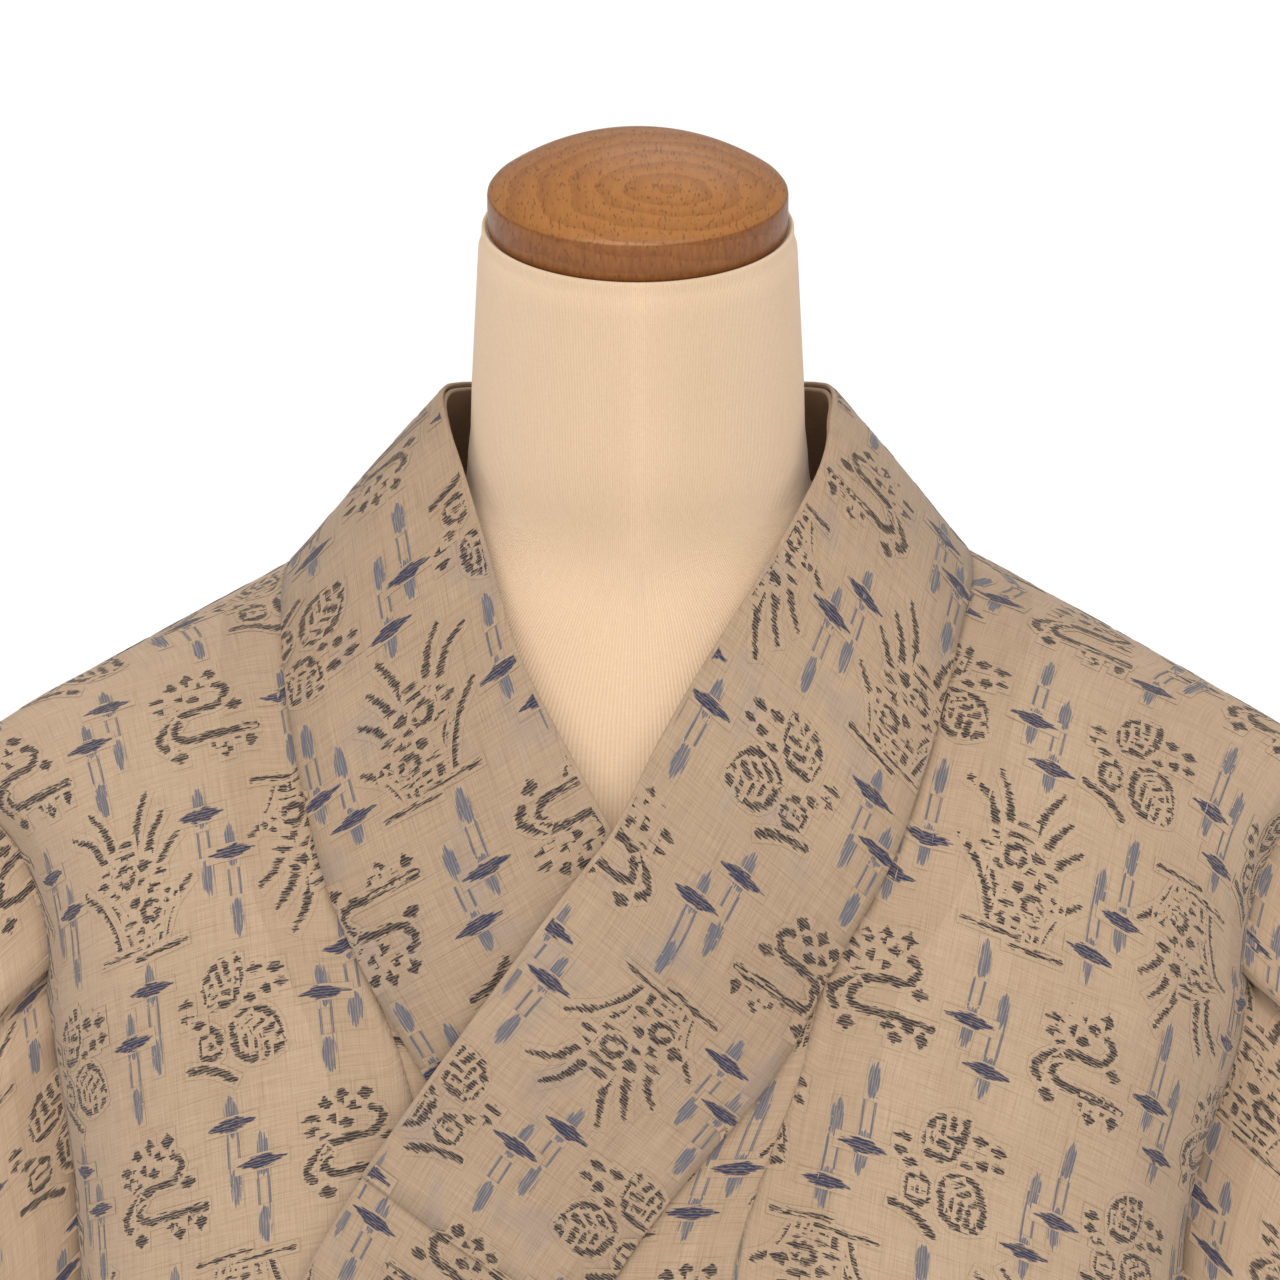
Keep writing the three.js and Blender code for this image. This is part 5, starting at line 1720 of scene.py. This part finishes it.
def lofted(name: str, rings: Array, material: bpy.types.Material, uv: str) -> bpy.types.Object:
    """Joins closed rings into one skin with flat ends, and a UV map of the distances along it.

    Args:
        name: the piece's name.
        rings: rings of points, from one end to the other.
        material: its finish.
        uv: the UV map's name.

    Returns:
        The piece.
    """
    count, sides = rings.shape[:2]
    quads = tube_quads(count, sides)
    ends = [np.arange(sides), np.arange(count * sides - sides, count * sides)[::-1]]
    first = rings[quads[0] // sides, quads[0] % sides]
    centre = rings.mean(axis=(0, 1))
    out = np.dot(np.cross(first[1] - first[0], first[3] - first[0]), first[0] - centre)
    faces = [face[::-1] if out < 0 else face for face in (*quads, *ends)]
    piece = make_object(name, rings.reshape(-1, 3), faces)
    closed = np.concatenate([rings, rings[:, :1]], axis=1)
    widest = int(np.argmax(np.linalg.norm(rings - rings.mean(axis=1, keepdims=True), axis=-1).mean(axis=1)))
    around = lengths_along(closed[widest])
    along = lengths_along(rings[:, 0])
    u = np.broadcast_to(around[None, :], (count, sides + 1))
    v = np.broadcast_to(along[:, None], (count, sides + 1))
    grid = np.stack([u, v], axis=-1) * MM
    pairs = []
    for face in faces:
        columns = [int(i) % sides for i in face]
        wraps = max(columns) == sides - 1 and min(columns) == 0 and len(face) == 4
        for i in face:
            row, column = int(i) // sides, int(i) % sides
            pairs.append(grid[row, sides if wraps and column == 0 else column])
    write_uv(piece.data, uv, np.array(pairs))
    piece.data.materials.append(material)
    return piece


def turned(name: str, profile: Points, centre: Array, lean: float, sides: int,
           material: bpy.types.Material, flat_grain: bool) -> bpy.types.Object:
    """Turns a piece from radius and height pairs.

    Args:
        name: the piece's name.
        profile: radius and height of each ring, from the foot up.
        centre: where its axis meets its foot.
        lean: forward lean in degrees.
        sides: how many sides it has.
        material: its finish.
        flat_grain: whether the grain runs across it, as in a board, and not round it.

    Returns:
        The piece.
    """
    angles = np.linspace(0, 2 * math.pi, sides, endpoint=False)
    c, s = math.cos(math.radians(lean)), math.sin(math.radians(lean))
    rings, grain = [], []
    for radius, height in profile:
        x, y = radius * np.cos(angles), radius * np.sin(angles)
        z = np.full(sides, height)
        rings.append(np.stack([x, y * c - z * s, y * s + z * c], axis=-1) + centre)
        grain.append(np.stack([x, y + z * 1.6], axis=-1) if flat_grain else
                     np.stack([angles * radius, z], axis=-1))
    piece = lofted(name, np.array(rings), material, "skin")
    values = np.array(grain).reshape(-1, 2) * MM
    corners = np.empty(len(piece.data.loops), dtype=np.int64)
    piece.data.loops.foreach_get("vertex_index", corners)
    write_uv(piece.data, "grain", values[corners])
    return piece


@dataclass
class DressForm:
    """The covered torso and neck with its turned cap."""

    shape: WornShape
    power: float = 2.15
    shoulder_power: float = 1.72
    neck_top: float = 92.5
    neck_lean: float = 9.0
    neck_radius: float = 51.5
    neck_y: float = -13.0
    rise: float = 0.7
    cap_radius: float = 48.8
    cap_wall: float = 13.0
    cap_dome: float = 16.5
    cap_edge: float = 2.5
    sides: int = 144
    cap_sides: int = 128
    cap_gap: float = 0.35
    crown_rings: int = 22
    neck_shares: tuple[float, ...] = (0, 1 / 3, 2 / 3)
    round_sections: int = 3
    chest_from: int = 7
    chest_over: int = 4
    between: int = 3
    knit_lip: Points = ((-4.4, -0.6), (-3.0, -0.3), (-2.3, 0.7), (-1.8, 1.5), (-1.2, 1.6), (-0.8, 0.9),
                        (-0.75, -0.3), (-0.7, -2.2), (-0.35, -4.0))
    sections: tuple[tuple[float, ...], ...] = (
        (40, 54.5, 54, 56, -5), (15, 56, 54, 57, -2), (-1, 60, 52, 57, 0), (-12, 80, 51, 57, 0),
        (-28, 112, 53, 58, 0), (-48, 151, 59, 62, 0), (-66, 183, 67, 68, 0), (-80, 195, 73, 74, 0),
        (-102, 195, 80, 81, 0), (-130, 184, 88, 89, 0), (-170, 163, 95, 91, 0), (-230, 152, 98, 90, 0),
        (-320, 142, 92, 86, 0), (-420, 138, 88, 88, 0), (-540, 152, 94, 98, 0), (-620, 156, 96, 100, 0),
        (-650, 150, 91, 95, 0), (-660, 138, 80, 84, 0))

    def rings(self) -> Array:
        """Sections of the covered body, from the neck's top down."""
        tilt = math.tan(math.radians(self.neck_lean))
        top = (self.neck_top, self.neck_radius, self.neck_radius, self.neck_radius, self.neck_y)
        rows = [[lerp(a, b, share) for a, b in zip(top, self.sections[0])] + [tilt * (1 - share), 2.0]
                for share in self.neck_shares]
        for i, section in enumerate(self.sections):
            chest = smooth((i - self.chest_from) / self.chest_over)
            power = 2.0 if i < self.round_sections else float(lerp(self.shoulder_power, self.power, chest))
            rows.append([*section, 0.0, power])
        angles = np.linspace(0, 2 * math.pi, self.sides, endpoint=False)
        c, s = np.cos(angles), np.sin(angles)
        rings = []
        for z, half, front, back, y0, lean, power in rows:
            x = half * np.sign(c) * np.abs(c) ** (2 / power)
            y = np.where(s < 0, front, back) * np.sign(s) * np.abs(s) ** (2 / power)
            rings.append(np.stack([x, y0 + y, z + y * lean], axis=-1))
        rings = np.array(rings)
        knots = lengths_along(rings.mean(axis=1) + np.array([1.0, 0, 0]) * np.linalg.norm(
            rings - rings.mean(axis=1, keepdims=True), axis=-1).mean(axis=1)[:, None])
        fine = refined(rings, knots, [self.between] * (len(rings) - 1))[1]
        return fine + np.array([0, 0, self.rise])

    def build_cover(self, material: bpy.types.Material) -> bpy.types.Object:
        """Makes the knit cover, with its rolled edge under the cap."""
        rings = self.rings()
        top = rings[0]
        centre = top.mean(axis=0)
        outward = unit(top - centre)
        up = np.array([0, -math.sin(math.radians(self.neck_lean)), math.cos(math.radians(self.neck_lean))])
        lip = [top + outward * across + up * high for across, high in self.knit_lip]
        return lofted("knit_cover", np.concatenate([np.array(lip), rings[1:]]), material, "knit")

    def build_cap(self, material: bpy.types.Material) -> bpy.types.Object:
        """Makes the turned cap."""
        radius, wall, dome, edge = self.cap_radius, self.cap_wall, self.cap_dome, self.cap_edge
        sphere = (radius**2 + dome**2) / (2 * dome)
        foot = [(radius - edge / 2 + edge / 2 * math.sin(v), edge / 2 * (1 - math.cos(v)))
                for v in np.linspace(0, QUARTER, 4)]
        profile = [(0.4, 0.0), *foot, (radius, wall - 1.5), (radius - 0.15, wall - 0.5),
                   (radius - 0.8, wall + 0.4)]
        crown = np.linspace(0.975, 0.0, self.crown_rings)
        profile += [(max(radius * v, 0.3), wall + dome - sphere + math.sqrt(sphere**2 - (radius * v) ** 2))
                    for v in crown]
        centre = np.array([0, self.neck_y, self.neck_top + self.cap_gap + self.rise])
        return turned("neck_cap", profile, centre, self.neck_lean, self.cap_sides, material, True)


@dataclass
class Stand:
    """The steel pole and its round beech base."""

    pole_radius: float = 16.0
    flange: float = 45.0
    flange_height: float = 10.0
    base_radius: float = 220.0
    base_height: float = 24.0
    base_edge: float = 5.0
    floor_z: float = -1530.0
    top_z: float = -659.65
    gap: float = 0.35
    pole_sides: int = 64
    base_sides: int = 128

    def build_pole(self, material: bpy.types.Material) -> bpy.types.Object:
        """Makes the pole with its flange."""
        foot = self.floor_z + self.base_height + self.gap
        radius, flange, rise = self.pole_radius, self.flange, self.flange_height
        heights = np.linspace(rise * 1.8, self.top_z - foot, 12)
        profile = [(0.5, 0), (flange - 0.8, 0), (flange, 0.8), (flange, rise * 0.6),
                   (flange - 2, rise * 0.68), (radius * 1.5, rise), (radius * 1.15, rise * 1.3),
                   *[(radius, h) for h in heights], (0.5, heights[-1])]
        return turned("steel_pole", profile, np.array([0, 0, foot]), 0.0, self.pole_sides, material, False)

    def build_base(self, material: bpy.types.Material) -> bpy.types.Object:
        """Makes the turned base."""
        radius, height, edge = self.base_radius, self.base_height, self.base_edge
        rim = [(radius - edge * (1 - math.cos(v)), height - edge * (1 - math.sin(v)))
               for v in np.linspace(0, QUARTER, 8)]
        inner = [(r, height) for r in np.linspace(radius - edge - 6, 0.6, 16)]
        profile = [(0.6, 0), (radius - 1, 0), (radius, 1), *rim, *inner]
        foot = np.array([0, 0, self.floor_z])
        return turned("beech_base", profile, foot, 0.0, self.base_sides, material, True)


@dataclass
class Studio:
    """The floor, soft light and the camera at the photograph's angle."""

    aim: tuple[float, float, float] = (0.0007, 0.0, 1.480)
    elevation: float = 16.5
    distance: float = 2.0
    lens: float = 168.75
    sensor: float = 36.0
    floor_size: float = 60.0
    surround: float = 0.43
    softness: float = 38.0
    suns: tuple[tuple, ...] = (("key", (-0.95, -2.4, 2.4), 1.5), ("fill", (0.95, -2.4, 2.3), 1.12),
                               ("back", (0.4, 2.0, 2.4), 0.4))

    def build_camera(self) -> None:
        """Sets the camera, which looks along +Y and a little down."""
        lift = math.radians(self.elevation)
        camera = bpy.data.objects.new("camera", bpy.data.cameras.new("camera"))
        camera.data.lens = self.lens
        camera.data.sensor_width = self.sensor
        away = Vector((0, -math.cos(lift), math.sin(lift))) * self.distance
        camera.location = Vector(self.aim) + away
        camera.rotation_euler = (QUARTER - lift, 0.0, 0.0)
        bpy.context.scene.collection.objects.link(camera)
        bpy.context.scene.camera = camera

    def build_floor(self) -> None:
        """Lays the plain pale floor."""
        half = self.floor_size / 2
        mesh = bpy.data.meshes.new("floor")
        corners = [(-half, -half, 0), (half, -half, 0), (half, half, 0), (-half, half, 0)]
        mesh.from_pydata(corners, [], [(0, 1, 2, 3)])
        floor = bpy.data.objects.new("floor", mesh)
        mesh.materials.append(StagePaint().build())
        bpy.context.scene.collection.objects.link(floor)

    def build_light(self) -> None:
        """Sets a white surround and three large soft lights."""
        world = bpy.data.worlds.new("surround")
        world.use_nodes = True
        background = world.node_tree.nodes["Background"]
        background.inputs["Color"].default_value = (1, 1, 1, 1)
        background.inputs["Strength"].default_value = self.surround
        bpy.context.scene.world = world
        bpy.context.scene.view_settings.view_transform = "Standard"
        for name, place, power in self.suns:
            light = bpy.data.lights.new(name, "SUN")
            light.angle = math.radians(self.softness)
            light.energy = power
            lamp = bpy.data.objects.new(name, light)
            lamp.rotation_euler = (-Vector(place)).to_track_quat("-Z", "Y").to_euler()
            bpy.context.scene.collection.objects.link(lamp)


class Held(Enum):
    """How a cut of cloth is held."""

    DRAPED = "draped"
    HUNG = "hung"
    FOLDED = "folded"


@dataclass(frozen=True)
class Cut:
    """A piece's flat size in metres as it shows, how it is held, and its area where it isn't square."""

    flat: tuple[float, float]
    held: Held
    rests: str = "form_torso"
    area: float | None = None


@dataclass
class Kimono:
    """The garment: body halves, overlaps, sleeves, collar and over-collar."""

    shape: WornShape
    line: CollarLine
    cloth: RamieCloth = RamieCloth("ramie")
    collar_cloth: RamieCloth = RamieCloth("ramie_collar", (178, 153, 127), (145, 120, 96), double=0.9,
                                          smudge=0.17)
    cuts: dict[str, Cut] = field(default_factory=lambda: {
        "body": Cut((0.285, 3.0), Held.DRAPED),
        "overlap": Cut((0.15, 1.35), Held.DRAPED, area=0.19),
        "sleeve": Cut((0.32, 0.98), Held.HUNG),
        "collar": Cut((0.075, 1.75), Held.FOLDED),
        "over_collar": Cut((0.075, 0.95), Held.FOLDED, "collar")})
    hem_x: tuple[float, float] = (152.0, 146.0)
    body_creases: dict[int, tuple[Crease, ...]] = field(default_factory=lambda: {
        1: (Crease(-196, 95, -178, 190, 7, 1.6), Crease(-120, 150, -70, 330, 11, 1.5),
            Crease(-40, 190, -95, 420, 12, -1.4), Crease(-60, -120, -140, -420, 14, 1.5),
            Crease(-150, -200, -180, -520, 13, -1.6), Crease(-30, 60, -80, 150, 9, 0.9),
            Crease(-136, 50, -134, 175, 6, 1.7), Crease(-126, 60, -124, 165, 6, -1.3)),
        -1: (Crease(190, 130, 172, 260, 9, 1.2), Crease(60, 170, 110, 380, 12, 1.5),
             Crease(130, 60, 100, 200, 10, -1.0), Crease(70, -110, 150, -400, 14, 1.4),
             Crease(180, -230, 150, -560, 13, -1.6))})
    sleeve_creases: tuple[Crease, ...] = (
        Crease(40, 30, 150, 330, 12, 1.8), Crease(110, 90, 230, 400, 14, -1.7),
        Crease(30, 190, 70, 440, 11, 1.5), Crease(60, -60, 170, -350, 13, 1.7),
        Crease(180, -110, 240, -430, 12, -1.6))
    starts: dict[str, Start] = field(default_factory=lambda: {
        "body_left": (-107, 119, -1), "body_right": (68, 115, 1), "overlap_left": (-50, 190, -1),
        "overlap_right": (40, 190, 1), "sleeve_left": (7, 123, -1), "sleeve_right": (-3, -48, 1),
        "collar": (10, 212, 1), "over_collar": (10, 212, 1)})

    def inks(self, cloth: RamieCloth) -> list[bpy.types.Material]:
        """The three dyed yarns woven into a cloth."""
        return [InkedRamie(cloth, Ink.CHARCOAL, (48, 42, 42), cover=0.98, thin=0.42).build(),
                InkedRamie(cloth, Ink.NAVY, (34, 43, 70), cover=0.96, thin=0.6, ragged=2.8).build(),
                InkedRamie(cloth, Ink.PALE, (74, 84, 101), cover=0.84, thin=0.5, ragged=4.8).build()]

    def sheet(self, piece: bpy.types.Object, figures: bpy.types.Object, node: str) -> None:
        """Hides the solid that a piece of cloth and its figures stand in place of, and logs their face
        counts.

        Args:
            piece: the cloth.
            figures: the figures that are woven into it.
            node: the solid's node.
        """
        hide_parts(node)
        faces, woven = len(piece.data.polygons), len(figures.data.polygons)
        LOG.info("%s: %d faces, figures %d faces", piece.name, faces, woven)

    def build(self) -> None:
        """Builds and dresses every panel."""
        weave, cloth = Weave(), self.cloth.build()
        inks = self.inks(self.cloth)
        for side, word in SIDES.items():
            maker = BodyPanel(self.shape, self.line, side)
            front, back = maker.coarse()
            top_t = down_lengths(front)[-len(maker.levels()):]
            folds = [replace(c, s0=side * c.s0, s1=side * c.s1) for c in self.sleeve_creases]
            panels = {
                "body": maker.build(f"kimono_body_{word}", self.body_creases[side]),
                "overlap": OverlapPanel(self.shape, self.line, side, maker, self.hem_x[side < 0]).build(
                    f"kimono_overlap_{word}", top_t, ()),
                "sleeve": Sleeve(self.shape, side).build(f"kimono_sleeve_{word}", front, back, folds)}
            for kind, panel in panels.items():
                node = f"{kind}_{word}"
                piece = panel.build(cloth)
                figures = weave.lay(f"figures_{node}", panel.patches, self.starts[node], panel.wall / 2, inks)
                self.sheet(piece, figures, node)
        collar_cloth, collar_inks = self.collar_cloth.build(), self.inks(self.collar_cloth)
        strips = {"collar": CollarStrip(self.line, under_end=16, over_end=16),
                  "over_collar": CollarStrip(self.line, under_end=12, over_end=11.5, raised=2.0, thick=1.5,
                                             lip=0.9)}
        for node, strip in strips.items():
            piece, face = strip.build(f"kimono_{node}", collar_cloth)
            figures = weave.lay(f"figures_{node}", [face], self.starts[node], 0.0, collar_inks)
            self.sheet(piece, figures, node)


def main() -> None:
    """Builds the camera, the form with its stand, the garment and the studio."""
    logging.basicConfig(level=logging.INFO, format="%(message)s")
    studio = Studio()
    studio.build_camera()
    shape = WornShape()
    form, stand = DressForm(shape), Stand()
    # The cap's upright wall, between these lengths along its skin, gets painted shade.
    cap_wood = TurnedBeech("beech_cap", side=(0.048, 0.0605)).build()
    pieces = {
        "form_torso": (form.build_cover(RibKnit().build()), "form_cover"),
        "form_cap": (form.build_cap(cap_wood), "beech"),
        "stand_pole": (stand.build_pole(BrushedSteel().build()), "steel"),
        "stand_base": (stand.build_base(TurnedBeech("beech_base").build()), "beech")}
    for node, (piece, slot) in pieces.items():
        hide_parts(node)
        LOG.info("%s: %d faces", piece.name, len(piece.data.polygons))
    Kimono(shape, CollarLine(shape)).build()
    studio.build_floor()
    studio.build_light()


if __name__ == "__main__":
    main()
